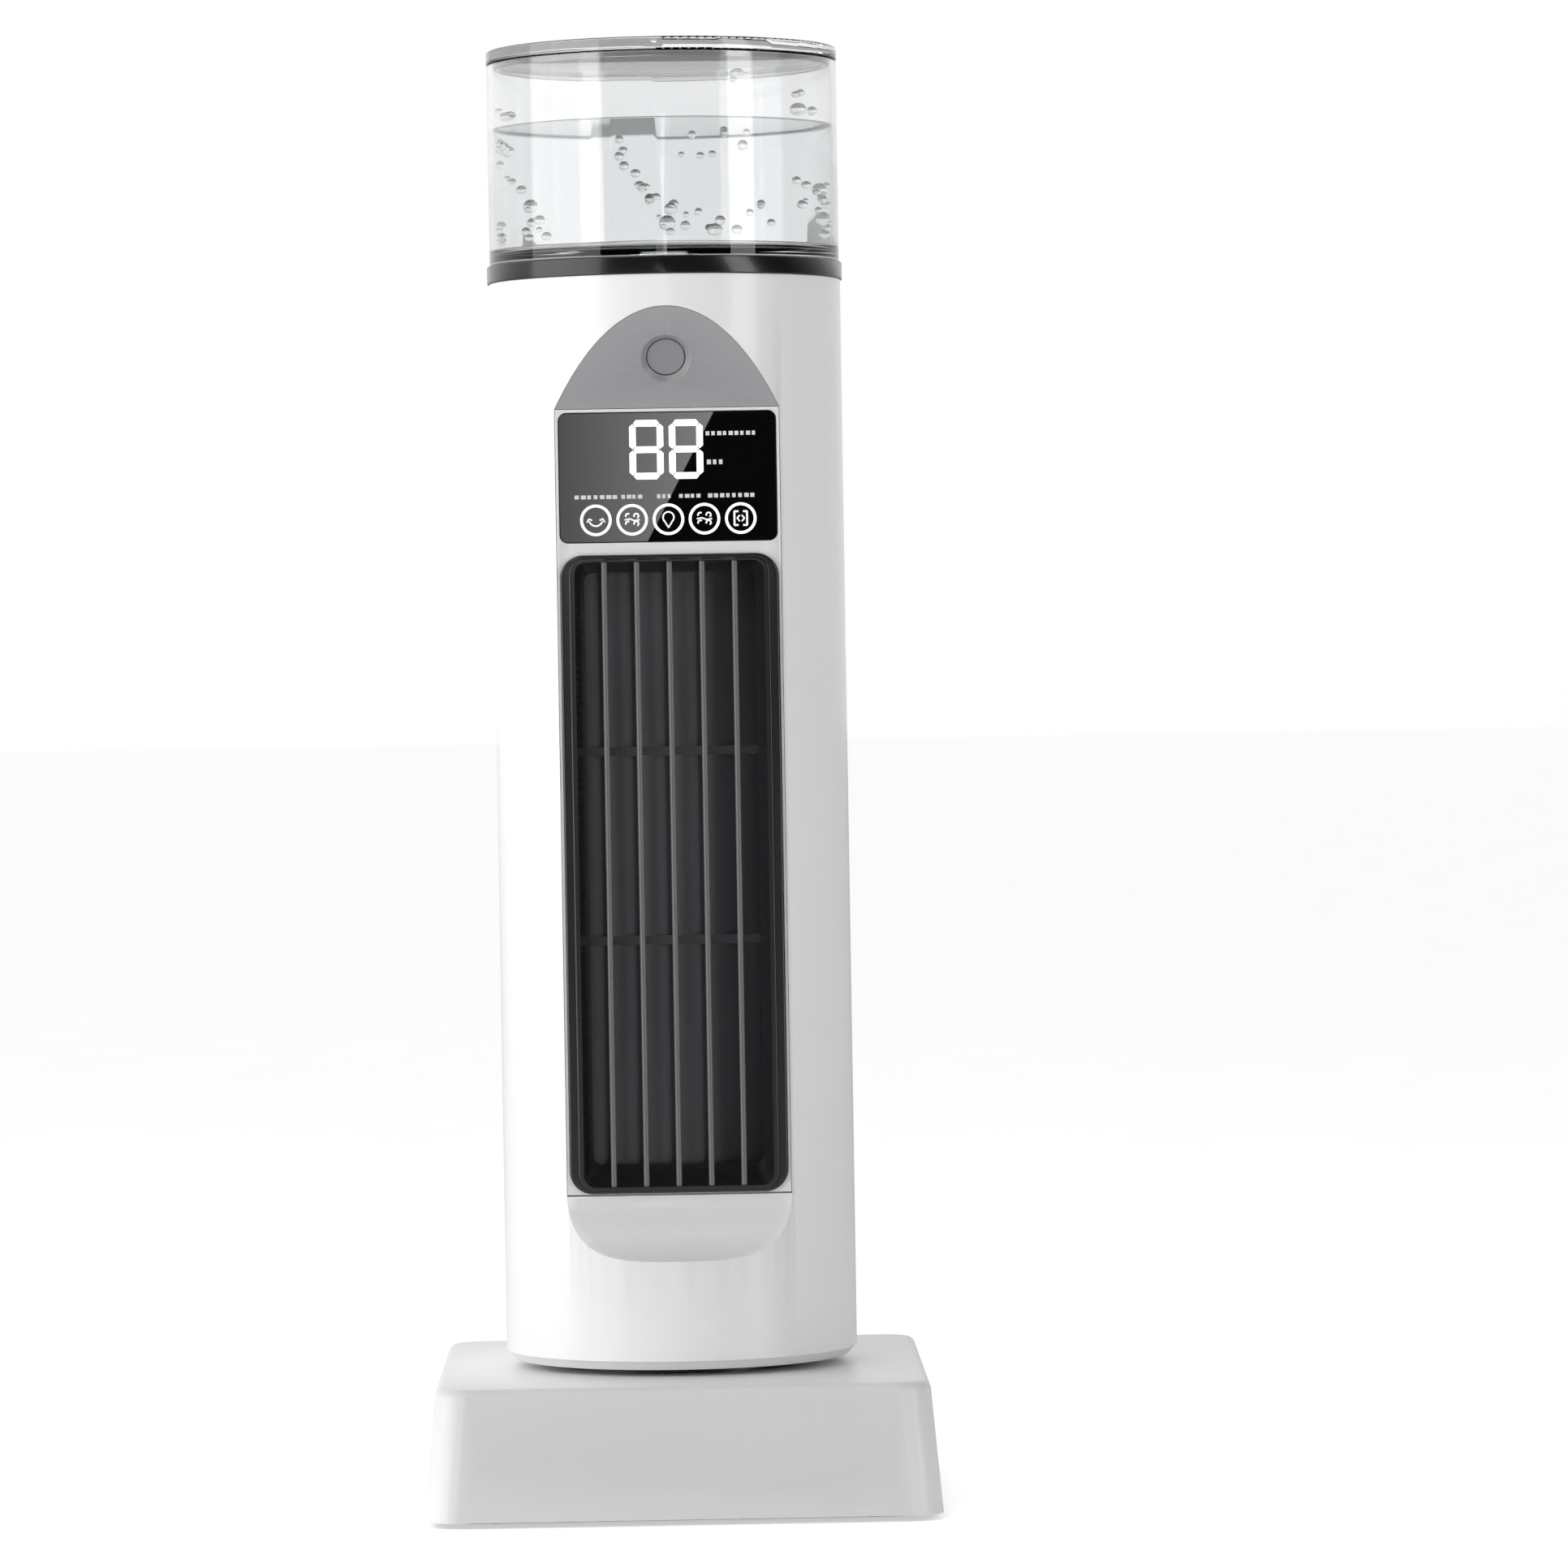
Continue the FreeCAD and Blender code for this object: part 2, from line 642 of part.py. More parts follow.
def front_shell():
    wall = tube(column_r, shell_in_r, shell_z, shell_top_z)
    inside = rod(shell_in_r + 0.5, shell_z, shell_top_z)
    seat = in_front_of_face(insert_thick + seat_thick,
            face_z).cut(in_front_of_face(insert_thick, face_z - 1))
    seat = seat.common(inside).common(box(-80, 80, -80, 0, face_z - 1, deck_z - fit_gap))
    chin = scoop_block(seat_thick).cut(scoop_block(0)).common(inside)
    sill = box(-face_half, face_half, face_y, seat_back_y, face_z - 0.01, face_z + 0.4).common(inside)
    shell = joined([wall, seat, chin, sill])
    shell = shell.cut([scoop_block(0), face_outline(0).common(in_front_of_face(insert_thick, face_z))])
    shell = shell.cut(in_front_of_face(0, face_z - 0.5))
    shell = shell.cut(box(-80, 80, seam_y, 80, 0, shell_top_z + 5))
    lugs = [screw_lug(s * lug_x, z, -12, seam_y) for s in (-1, 1) for z in lug_heights]
    ledge = tube(shell_in_r + 0.5, shell_in_r - 2, deck_z - 2.5, deck_z)
    ledge = ledge.common(box(-80, 80, -34, seam_y, 0, shell_top_z))
    posts = [rod_y(3.4, seat_back_y - 0.2, ear_y, s * ear_x, z) for s in (-1, 1) for z in ear_heights]
    button_posts = on_arch(Part.makeCompound([rod(2.2, -button_board_depth, -insert_thick - 1, s * 10.5,
            0) for s in (-1, 1)]))
    shell = joined([shell, ledge] + lugs + posts + button_posts.Solids)
    cuts = [rod_y(shell_screw_r + thread_gap, -6, seam_y + 1, s * lug_x, z) for s in (-1,
            1) for z in lug_heights]
    cuts += [rod_y(housing_screw_r + thread_gap, ear_y - 4, ear_y + 1, s * ear_x, z) for s in (-1,
            1) for z in ear_heights]
    cuts += [rod_y(panel_screw_r + thread_gap, seat_y, seat_back_y + 1, x, z) for x, z in panel_screw_spots]
    cuts.append(grille_window(0))
    cuts.append(display_window())
    cuts.append(on_arch(rod(well_r + 0.4, -insert_thick - seat_thick - 2, -insert_thick + 1)))
    return shell.cut(cuts)


def rear_cover():
    wall = tube(column_r, shell_in_r, shell_z, shell_top_z)
    behind_seam = box(-80, 80, seam_y + fit_gap, 80, 0, shell_top_z + 5)
    wall = wall.common(behind_seam)
    lugs = [screw_lug(s * lug_x, z, seam_y + fit_gap, 37) for s in (-1, 1) for z in lug_heights]
    ledge = tube(shell_in_r + 0.5, shell_in_r - 2, deck_z - 2.5, deck_z).common(behind_seam)
    ribs = []
    for x in filter_ribs:
        rib = box(x - 1, x + 1, 0, 80, air_z0, air_z1).common(tube(shell_in_r + 0.5, filter_r + fit_gap,
                air_z0, air_z1))
        ribs.append(rib)
    shelf = tube(shell_in_r + 0.5, filter_r - 2.4, air_z0 - 2.2, air_z0)
    shelf = shelf.common(box(-filter_ribs[-1] - 2, filter_ribs[-1] + 2, 0, 80, 0, air_z1))
    cover = joined([wall, ledge, shelf] + lugs + ribs)
    cuts = []
    rows = int((air_z1 - air_z0 - 10) / slot_pitch)
    first = (air_z0 + air_z1 - (rows - 1) * slot_pitch) / 2
    bays = list(zip(filter_ribs[:-1], filter_ribs[1:]))
    for row in range(rows):
        z = first + row * slot_pitch
        for x0, x1 in bays:
            cuts.append(box(x0 + 2.5, x1 - 2.5, 20, 80, z - slot_height / 2, z + slot_height / 2))
    for s in (-1, 1):
        for z in lug_heights:
            cuts.append(rod_y(3.6, 30, 60, s * lug_x, z))
            cuts.append(rod_y(1.9, 0, 60, s * lug_x, z))
    return cover.cut(cuts)


filter_r = shell_in_r - 1.7
filter_ribs = (-46.0, -15.5, 15.5, 46.0)
slot_pitch = 8.5
slot_height = 4.2


def shell_screws():
    one = screw(shell_screw_r, 3.2, 2.2, 34.0)
    spots = [V(s * lug_x, 30, z) for s in (-1, 1) for z in lug_heights]
    return Part.makeCompound([placed(one, p, Y_AXIS) for p in spots])


def dust_filter():
    band = tube(filter_r, filter_r - 1.4, air_z0 + 0.1, air_z1 - 1.0)
    half = filter_ribs[-1] - 2
    sheet = tube(filter_r - 0.5, filter_r - 0.9, air_z0 + 0.1,
            air_z1 - 1.0).common(box(-half, half, 0, 80, 0, 600))
    band = band.common(box(-half, half, 0, 80, 0, 600))
    columns = 4
    rows = 6
    tall = (air_z1 - air_z0 - 1.1) / rows
    wide = 2 * half / columns
    for c in range(columns):
        for r in range(rows):
            x0 = -half + c * wide
            z0 = air_z0 + 0.1 + r * tall
            band = band.cut(box(x0 + 1.2, x0 + wide - 1.2, 0, 80, z0 + 1.2, z0 + tall - 1.2))
    return joined([band, sheet])


# ---------------------------------------------------------------- front inserts
def grille_window(gap):
    """Opening for the duct through bezel and seat."""
    half = grille_half - grille_band + 0.2 + gap
    return face_block(half, grille_z0 + 1.4 - gap, grille_z1 - 1.4 + gap, 6.0, face_y - 5, seat_back_y + 5)


def display_window():
    return face_block(face_half - 5.0, display_z0 + 2.5, display_z1 - 2.5, 2.0, face_y - 5, seat_back_y + 5)


def front_bezel():
    half = face_half - fit_gap
    plate = box(-half, half, face_y, seat_y - 0.02, face_z + 0.4 + fit_gap, arch_z0 - 0.1)
    plate = plate.common(rod(column_r - 0.05, 0, 600))
    lens_pocket = face_block(face_half - 1.3 + 0.12, display_z0 - 0.12, display_z1 + 0.12, 3.2,
            face_y - 1, face_y + 2.3)
    return plate.cut([lens_pocket, display_window(), grille_window(0.1)])


def display_lens():
    lens = face_block(face_half - 1.3, display_z0, display_z1, 3.0, face_y + 0.3, face_y + 2.3)
    rim = [e for e in lens.Edges if abs(e.BoundBox.YMax - face_y - 0.3) < 1e-3]
    return lens.makeChamfer(0.3, rim)


def arch_panel():
    slab = in_front_of_face(insert_thick - 0.02, arch_z0).cut(in_front_of_face(0, arch_z0 - 1))
    panel = slab.common(face_outline(-fit_gap)).common(box(-80, 80, -80, 0, arch_z0 + 0.1, arch_z1 + 5))
    floor_r = button_r + play_gap
    flare = (well_r - floor_r) / well_depth
    well = Part.makeCone(floor_r, well_r + flare, well_depth + 1, V(0, 0, -well_depth), Z_AXIS)
    return panel.cut([on_arch(well), on_arch(rod(floor_r, -10, 1))])


button_board_depth = 11.0


def power_button():
    face = -well_depth
    cap = rod(button_r, -insert_thick - 0.3, face)
    rim = [e for e in cap.Edges if abs(e.BoundBox.ZMin - face) < 1e-3]
    cap = cap.makeFillet(0.5, rim)
    flange = rod(button_r + 1.2, -insert_thick - 1.3, -insert_thick - play_gap)
    stem = rod(2.2, -8.6, -insert_thick - 1.2)
    return on_arch(joined([cap, flange, stem]))


def power_switch():
    board = box(-13, 13, -6, 6, -button_board_depth - 1.6, -button_board_depth)
    body = box(-4.5, 4.5, -4.5, 4.5, -button_board_depth, -7.2)
    bore = rod(2.2 + play_gap, -button_board_depth + 0.6, -7)
    pins = [box(x - 0.4, x + 0.4, y - 0.4, y + 0.4, -button_board_depth - 3, -button_board_depth - 1.5)
            for x in (-3, 3) for y in (-3, 3)]
    return on_arch(joined([board, body] + pins).cut(bore))


def outlet_grille():
    front_y = face_y - grille_flange_thick
    inner_half = grille_half - grille_band - ridge_width
    low = grille_z0 + grille_band - 0.7
    high = grille_z1 - grille_band + 0.7
    flange = face_block(grille_half, grille_z0, grille_z1, grille_corner_r, front_y, face_y)
    rim = [e for e in flange.Edges if abs(e.BoundBox.YMax - front_y) < 1e-3]
    flange = flange.makeFillet(1.1, rim)
    ridge = face_block(inner_half + ridge_width, low - ridge_width + 0.8, high + ridge_width - 0.8,
                       grille_corner_r - 2.6, front_y - ridge_rise, face_y)
    crest = [e for e in ridge.Edges if abs(e.BoundBox.YMax - front_y + ridge_rise) < 1e-3]
    ridge = ridge.makeFillet(0.9, crest)
    back_half = inner_half - duct_side_taper
    outer = funnel((inner_half + duct_wall, low - duct_wall + 0.4, high + duct_wall - 0.4,
            grille_corner_r - 3.5),
                   (back_half + duct_wall, low + duct_floor_rise - duct_wall,
                           high - duct_roof_drop + duct_wall, 4.0),
                   face_y - 0.2, duct_y)
    hollow = funnel((inner_half, low, high, grille_corner_r - 4.2),
                    (back_half, low + duct_floor_rise, high - duct_roof_drop,
                            3.0), face_y - 0.2, duct_y + 0.01)
    mouth = face_block(inner_half, low, high, grille_corner_r - 4.2, front_y - 3, face_y - 0.19)
    frame = joined([flange, ridge, outer]).cut([hollow, mouth])
    bar_y = front_y - ridge_rise + bar_r
    bars = []
    for k in range(bar_count):
        x = (k - (bar_count - 1) / 2) * bar_pitch
        z0 = low - 0.5
        z1 = high + 0.5
        bars.append(rod(bar_r, z0, z1, x, bar_y))
        bars.append(Part.makeSphere(bar_r, V(x, bar_y, z0)))
        bars.append(Part.makeSphere(bar_r, V(x, bar_y, z1)))
    return joined([frame] + bars)


def rib_levels():
    """The two cross ribs, which split the outlet in near thirds."""
    top = grille_z1 - 2.5
    span = (grille_height - 25.0) / 3
    return (top - span, top - 2 * span)


def guide_vanes():
    z0 = air_z0
    z1 = air_z1
    y1 = vane_y0 + vane_frame_depth
    half = air_box_half
    pieces = [
        box(-half, half, vane_y0, y1, z0, z0 + vane_rail), box(-half, half, vane_y0, y1, z1 - vane_rail,
                z1),
        box(-half, -half + 1.6, vane_y0, y1, z0, z1), box(half - 1.6, half, vane_y0, y1, z0, z1),
    ]
    for level in rib_levels():
        pieces.append(box(-half, half, vane_y0 + 3.4, y1 - 1.0, level - rib_height / 2 - 0.3,
                level + rib_height / 2 + 0.3))
    count = bar_count + 1
    levels = [z0] + sorted(rib_levels()) + [z1]
    centre_y = vane_y0 + vane_frame_depth / 2
    for k in range(count):
        x = (k - (count - 1) / 2) * bar_pitch
        for low, high in zip(levels[:-1], levels[1:]):
            blade = box(-vane_width / 2, vane_width / 2, -vane_thick / 2, vane_thick / 2,
                        low + rib_height / 2, high - rib_height / 2)
            blade.rotate(V(0, 0, 0), Z_AXIS, vane_angle)
            blade.translate(V(x, centre_y, 0))
            pieces.append(blade.common(box(-half + 0.2, half - 0.2, vane_y0, y1, z0, z1)))
    return joined(pieces)


# ---------------------------------------------------------------- heating element
def heater_frame():
    half = air_box_half
    frame = box(-half, half, heater_y0, heater_y1, air_z0, air_z1)
    window = box(-half + heater_rim, half - heater_rim, heater_y0 - 1, heater_y1 + 1, air_z0 + heater_rim,
            air_z1 - heater_rim)
    lips = [box(-half + 1, half - 1, heater_y0, heater_y0 + 1.0, z - 1.2, z + 1.2) for z in rib_levels()]
    return joined([frame.cut(window)] + lips)


def fin_slots():
    """(x0, x1) of the fin packs and of the ceramic bars between them."""
    inner = air_box_half - heater_rim - 0.1
    pack = (2 * inner - 2 * ceramic_width) / 3
    packs = []
    bars = []
    x = -inner
    for k in range(3):
        packs.append((x, x + pack))
        x += pack
        if k < 2:
            bars.append((x, x + ceramic_width))
            x += ceramic_width
    return packs, bars


def heater_fins():
    """Folded metal strips, one ribbon for each pack: shelves joined at alternate ends."""
    z0 = air_z0 + heater_rim + 0.3
    z1 = air_z1 - heater_rim - 0.3
    shelves = int((z1 - z0) / fin_pitch)
    step = (z1 - z0 - fin_metal) / (shelves - 1)
    y0 = heater_y0 + 1.5
    ribbons = []
    for x0, x1 in fin_slots()[0]:
        left = [V(x0, y0, z0)]
        right = [V(x1, y0, z0)]
        for k in range(shelves - 1):
            top = z0 + k * step + fin_metal
            under = z0 + (k + 1) * step
            if k % 2:
                right += [V(x1, y0, top), V(x0 + fin_metal, y0, top), V(x0 + fin_metal, y0, under),
                        V(x1, y0, under)]
            else:
                left += [V(x0, y0, top), V(x1 - fin_metal, y0, top), V(x1 - fin_metal, y0, under),
                        V(x0, y0, under)]
        outline = left + [V(x0, y0, z1), V(x1, y0, z1)] + right[::-1]
        face = Part.Face(Part.makePolygon(outline + outline[:1]))
        ribbons.append(face.extrude(V(0, heater_depth - 3.0, 0)))
    return Part.makeCompound(ribbons)


def ceramic_bars():
    z0 = air_z0 + heater_rim + 0.2
    z1 = air_z1 - heater_rim - 0.2
    bars = [box(x0 + 0.02, x1 - 0.02, heater_y0 + 1.5, heater_y1 - 1.5, z0, z1) for x0,
            x1 in fin_slots()[1]]
    return Part.makeCompound(bars)


def thermal_cutout():
    z = air_z1 - heater_rim / 2
    y = heater_y1
    disc = rod_y(7.0, y, y + 3.2, air_box_half - 12, z - 8)
    cap = rod_y(5.0, y + 3.1, y + 6.5, air_box_half - 12, z - 8)
    strap = box(air_box_half - 14, air_box_half - 10, y, y + 1.0, z - 12, z + 2)
    return joined([disc, cap, strap])


# ---------------------------------------------------------------- fan
ear_x = 40.0
ear_y = duct_y - 2.4
ear_heights = (air_z0 + 14, air_z1 - 14)
fan_z0 = air_z0 + 0.4
fan_z1 = air_z1 - 2.0


def fan_housing():
    half = air_box_half + fit_gap
    out = half + housing_wall
    front = vane_y0
    low = housing_z0
    high = housing_z1
    plan = joined([box(-out, out, front, fan_y, low, high), rod(out, low, high, 0, fan_y)])
    plates = joined([plan.common(box(-60, 60, -60, 60, low, low + housing_plate)),
                     plan.common(box(-60, 60, -60, 60, high - housing_plate, high))])
    left = box(-out, -half, front, fan_y, low, high)
    right = box(half, out, front, heater_y1 + 8, low, high)
    scroll = tube(out, half, low, high, 0, fan_y)
    keep = Part.makeBox(200, 200, high - low + 2, V(-200, fan_y - 0.01, low - 1))
    keep_turn = Part.makeBox(200, 200, high - low + 2, V(-200, 0, low - 1))
    keep_turn.rotate(V(0, 0, 0), Z_AXIS, -25)
    keep_turn.translate(V(0, fan_y, 0))
    scroll = scroll.common(keep).common(keep_turn)
    tongue = across_plan([(out, heater_y1 + 6.2), (out, heater_y1 + 8), (fan_r + 3.0, heater_y1 + 10.5),
                          (fan_r + 2.4, heater_y1 + 9.0)], low, high)
    ears = [box(*sorted((s * (out - 0.5), s * (ear_x + 4))), ear_y, front + 0.6, z - 5, z + 5)
            for s in (-1, 1) for z in ear_heights]
    links = [box(*sorted((s * (out - 1.0), s * (out + 0.8))), ear_y, front + 8, z - 5, z + 5)
             for s in (-1, 1) for z in ear_heights]
    whole = joined([plates, left, right, scroll, tongue] + ears + links)
    cuts = [rod(motor_shaft_r + 5, low - 1, low + housing_plate + 1, 0, fan_y),
            rod(5.6, high - housing_plate - 1, high + 1, 0, fan_y)]
    cuts += [rod_y(1.8, ear_y - 1, front + 2, s * ear_x, z) for s in (-1, 1) for z in ear_heights]
    cuts += [rod(motor_screw_r + thread_gap, low - 1, low + housing_plate + 1, x, y) for x,
            y in motor_screw_spots]
    cuts += [box(-half, half, -60, front, low - 1, high + 1)]
    return whole.cut(cuts)


def across_plan(points_xy, z0, z1):
    corners = [V(x, y, z0) for x, y in points_xy]
    return Part.Face(Part.makePolygon(corners + corners[:1])).extrude(V(0, 0, z1 - z0))


motor_screw_spots = [(26.5 * cos(a), fan_y + 26.5 * sin(a)) for a in (pi / 2, 7 * pi / 6, 11 * pi / 6)]


def housing_screws():
    one = screw(housing_screw_r, 3.0, 2.0, 6.0)
    spots = [V(s * ear_x, vane_y0 + 0.6, z) for s in (-1, 1) for z in ear_heights]
    return Part.makeCompound([placed(one, p, Y_AXIS) for p in spots])


def fan_blade(turn):
    """One curved blade, faceted, between the end discs."""
    r_in = fan_r - fan_blade_chord
    line = []
    for step in range(4):
        share = step / 3
        r = fan_r + (r_in - fan_r) * share
        line.append((r, turn - 0.55 * share * (1 - share) - 0.1 * share))
    back = [(r, a - fan_blade_thick / r) for r, a in reversed(line)]
    points = [(r * cos(a), r * sin(a)) for r, a in line + back]
    return across_plan(points, fan_z0 + fan_disc_thick / 2, fan_z1 - fan_disc_thick / 2)


def fan_wheel():
    """Cross-flow wheel: end discs, two middle rings at the ribs' levels, and curved blades."""
    blades = [fan_blade(2 * pi * k / fan_blades) for k in range(fan_blades)]
    rim_r = fan_r + 0.6
    discs = [rod(rim_r, fan_z0, fan_z0 + fan_disc_thick), rod(rim_r, fan_z1 - fan_disc_thick, fan_z1)]
    discs += [tube(rim_r, fan_r - fan_blade_chord - 1, z - 0.8, z + 0.8) for z in rib_levels()]
    hub = rod(8.0, fan_z0, fan_z0 + 10)
    boss = rod(7.0, fan_z1 - 8, fan_z1)
    wheel = joined(discs + [hub, boss] + blades)
    wheel = wheel.cut([rod(motor_shaft_r, fan_z0 - 1, fan_z0 + 8), rod(axle_r, fan_z1 - 6, fan_z1 + 1)])
    wheel.translate(V(0, fan_y, 0))
    return wheel


motor_z1 = housing_z0
motor_z0 = motor_z1 - motor_flange_thick - motor_height


def fan_motor():
    can = rod(motor_r, motor_z0, motor_z1 - motor_flange_thick + 0.1)
    rim = [e for e in can.Edges if e.BoundBox.ZMax < motor_z0 + 0.01]
    can = can.makeFillet(2.0, rim)
    flange = rod(motor_flange_r, motor_z1 - motor_flange_thick, motor_z1)
    pads = [box(-6, 6, motor_r - 2, motor_r + 5, motor_z0 + 4, motor_z0 + 14)]
    whole = joined([can, flange] + pads)
    cuts = [rod(motor_shaft_r + play_gap, motor_z1 - 9, motor_z1 + 1)]
    for k in range(8):
        a = pi / 8 + k * pi / 4
        cuts.append(rod(2.6, motor_z1 - motor_flange_thick - 18, motor_z1 - motor_flange_thick - 0.5,
                        (motor_r - 0.5) * cos(a), (motor_r - 0.5) * sin(a)))
    whole = whole.cut(cuts)
    whole.translate(V(0, fan_y, 0))
    return whole.cut([rod(1.8, motor_z1 - motor_flange_thick - 1, motor_z1 + 1, x, y) for x,
            y in motor_screw_spots])


def motor_screws():
    one = screw(motor_screw_r, 2.3, 1.8, motor_flange_thick + housing_plate - 0.6)
    seat = motor_z1 - motor_flange_thick
    return Part.makeCompound([placed(one, V(x, y, seat), V(0, 0, -1)) for x, y in motor_screw_spots])


def motor_shaft():
    return rod(motor_shaft_r, motor_z1 - 8, fan_z0 + 8, 0, fan_y)


def wheel_axle():
    return rod(axle_r, fan_z1 - 6, housing_z1 + 0.8, 0, fan_y)


def upper_bearing():
    bush = rod(5.5, housing_z1 - housing_plate, housing_z1 + 0.2, 0, fan_y)
    flange = rod(8.5, housing_z1 + 0.02, housing_z1 + 1.6, 0, fan_y)
    return joined([bush, flange]).cut(rod(axle_r + run_gap, housing_z1 - 5, housing_z1 + 5, 0, fan_y))


# ---------------------------------------------------------------- electronics
def power_board():
    floor_top = column_z + floor_thick
    z0 = floor_top + 7.1
    z1 = z0 + 38
    y0 = board_y
    y1 = board_y + 1.6
    board = box(-board_x, board_x, y0, y1, z0, z1)
    relay = box(-30, -12, y1, y1 + 13, z0 + 12, z0 + 28)
    coil = box(-8, 10, y1, y1 + 12, z0 + 14, z0 + 30)
    capacitors = [rod_y(4.0, y1, y1 + 13, 17 + 9 * k, z0 + 20) for k in range(2)]
    terminals = box(-20, 20, y1, y1 + 8, z1 - 9, z1 - 1)
    return joined([board, relay, coil, terminals] + capacitors)


panel_board_half = face_half - 1.2


def control_board():
    y0 = seat_back_y + 0.1
    y1 = y0 + 1.6
    board = box(-panel_board_half, panel_board_half, y0, y1, display_z0 + 1.5, display_z1 - 1.5)
    chips = [box(-12, 0, y1, y1 + 2, display_z0 + 12, display_z0 + 24),
            box(8, 16, y1, y1 + 5, display_z0 + 10, display_z0 + 18)]
    plug = box(-30, -18, y1, y1 + 7, display_z0 + 8, display_z0 + 15)
    pads = [rod_y(4.2, face_y + 2.4, y0 + 0.1, (k - 2) * key_pitch + 0.5,
            display_z0 + key_rise) for k in range(5)]
    whole = joined([board, plug] + chips + pads)
    return whole.cut([rod_y(1.5, y0 - 1, y1 + 1, x, z) for x, z in panel_screw_spots])


key_pitch = 13.2
key_rise = 9.0
digit_centre_x = 0.0
digit_rise = 33.5
panel_screw_spots = [(s * (panel_board_half - 1.95), z) for s in (-1, 1) for z in (display_z0 + 10,
        display_z1 - 10)]


def led_display():
    y1 = seat_back_y + 0.1
    body = box(digit_centre_x - 16, digit_centre_x + 16, face_y + 2.9, y1, display_z0 + digit_rise - 13,
            display_z1 - 4)
    bars = []
    tall = 18.0
    wide = 10.5
    for centre in (-7.3, 7.3):
        x = digit_centre_x + centre
        z = display_z0 + digit_rise - 0.5
        for level in (-tall / 2, 0, tall / 2):
            bars.append(box(x - wide / 2 + 1.6, x + wide / 2 - 1.6, face_y + 2.45, face_y + 3,
                    z + level - 1, z + level + 1))
        for side in (-wide / 2, wide / 2):
            for level in (-tall / 4, tall / 4):
                bars.append(box(x + side - 1, x + side + 1, face_y + 2.45, face_y + 3,
                                z + level - tall / 4 + 0.5, z + level + tall / 4 - 0.5))
    return joined([body] + bars)


def ir_receiver():
    y1 = seat_back_y + 0.1
    x = face_half - 10.0
    z = display_z1 - 8.5
    return joined([box(x - 2.6, x + 2.6, y1 - 2.6, y1, z - 3, z + 3), rod_y(1.8, y1 - 2.8, y1 - 2.5, x, z)])


def panel_screws():
    one = screw(panel_screw_r, 1.9, 1.4, 3.4)
    y = seat_back_y + 1.7
    return Part.makeCompound([placed(one, V(x, y, z), Y_AXIS) for x, z in panel_screw_spots])


# ---------------------------------------------------------------- deck, collar, tank, lid
cup_r = spout_r + 4.0
cup_floor_z = deck_z - 6.0
pin_top_z = deck_z + 4.0
spout_z = pin_top_z + 0.4


def top_deck():
    r = shell_in_r - play_gap
    deck = rod(r, deck_z + 0.02, deck_z + deck_thick)
    rim = tube(r, r - shell_wall, deck_z + 0.02, shell_top_z)
    cup = rod(cup_r + 2, cup_floor_z - 2, deck_z + deck_thick)
    cup_in = rod(cup_r, cup_floor_z, deck_z + deck_thick + 5)
    pin = rod(1.5, cup_floor_z - 0.5, pin_top_z)
    feet = [box(s * 3 - 0.7, s * 3 + 0.7, -cup_r - 1, cup_r + 1, cup_floor_z - 0.5,
            cup_floor_z + 2) for s in (-1, 1)]
    deck = joined([deck, rim, cup]).cut(cup_in)
    deck = joined([deck, pin] + feet)
    nipples = [rod(2.5, cup_floor_z - 3, cup_floor_z + 3, x, 0) for x in (-8, 8)]
    return deck.cut(nipples)


def atomizer():
    """Mist maker clipped under the deck's cup."""
    z1 = cup_floor_z - 2.0
    ring = tube(12.0, 5.0, z1 - 5, z1)
    disc = rod(5.6, z1 - 3.4, z1 - 2.6)
    plug = box(10, 17, -3.5, 3.5, z1 - 4.5, z1 - 0.5)
    return joined([ring, disc, plug])


def collar_ring():
    ring = tube(column_r + collar_proud, shell_in_r - 0.7, shell_top_z + 0.02, collar_top_z)
    edges = [e for e in ring.Edges if e.Curve.TypeId == "Part::GeomCircle" and e.Curve.Radius > column_r]
    return ring.makeFillet(0.5, edges)


skirt_r = shell_in_r - 0.7 - moving_gap


def water_tank():
    wall = tube(tank_r, tank_r - tank_wall, tank_z, tank_top_z)
    floor = rod(tank_r, tank_z, tank_z + tank_floor)
    skirt = tube(skirt_r, skirt_r - 2.4, shell_top_z + 1.4, tank_z + 0.5)
    spout = rod(spout_r, spout_z, tank_z + 0.5)
    tank = joined([wall, floor, skirt, spout])
    tank = tank.cut(rod(spout_r - 2.2, spout_z - 1, tank_z + tank_floor + 1))
    edges = [e for e in tank.Edges if e.Curve.TypeId == "Part::GeomCircle"
             and abs(e.Curve.Radius - tank_r + tank_wall) < 0.01 and e.BoundBox.ZMax < tank_top_z - 5]
    return tank.makeFillet(3.0, edges)


def valve_cap():
    r = spout_r - 2.3
    z0 = spout_z + 0.4
    body = joined([rod(r, z0, z0 + 3.0), tube(r, r - 3.2, z0 + 2.9, z0 + 4.4)])
    cuts = [rod(2.0 + play_gap, z0 - 1, z0 + 6)]
    cuts += [rod(1.1, z0 - 1, z0 + 3.5, 3.9 * cos(a), 3.9 * sin(a)) for a in (0, pi / 2, pi, 3 * pi / 2)]
    return body.cut(cuts)


def valve_plunger():
    low = pin_top_z + play_gap
    seat = spout_z + 0.4 + 4.4
    stem = rod(2.0, low, seat + valve_travel + 0.5)
    head = rod(spout_r - 3.6, seat + valve_travel, seat + valve_travel + 2.0)
    return joined([stem, head])


plug_r = tank_r - tank_wall - 1.4


def tank_lid():
    disc = rod(tank_r + 0.15, lid_z, lid_z + lid_thick)
    edges = [e for e in disc.Edges if e.Curve.TypeId == "Part::GeomCircle"]
    disc = disc.makeFillet(0.9, edges)
    plug = tube(plug_r, plug_r - 1.6, lid_z - 1.8, lid_z + 0.5)
    return joined([disc, plug])


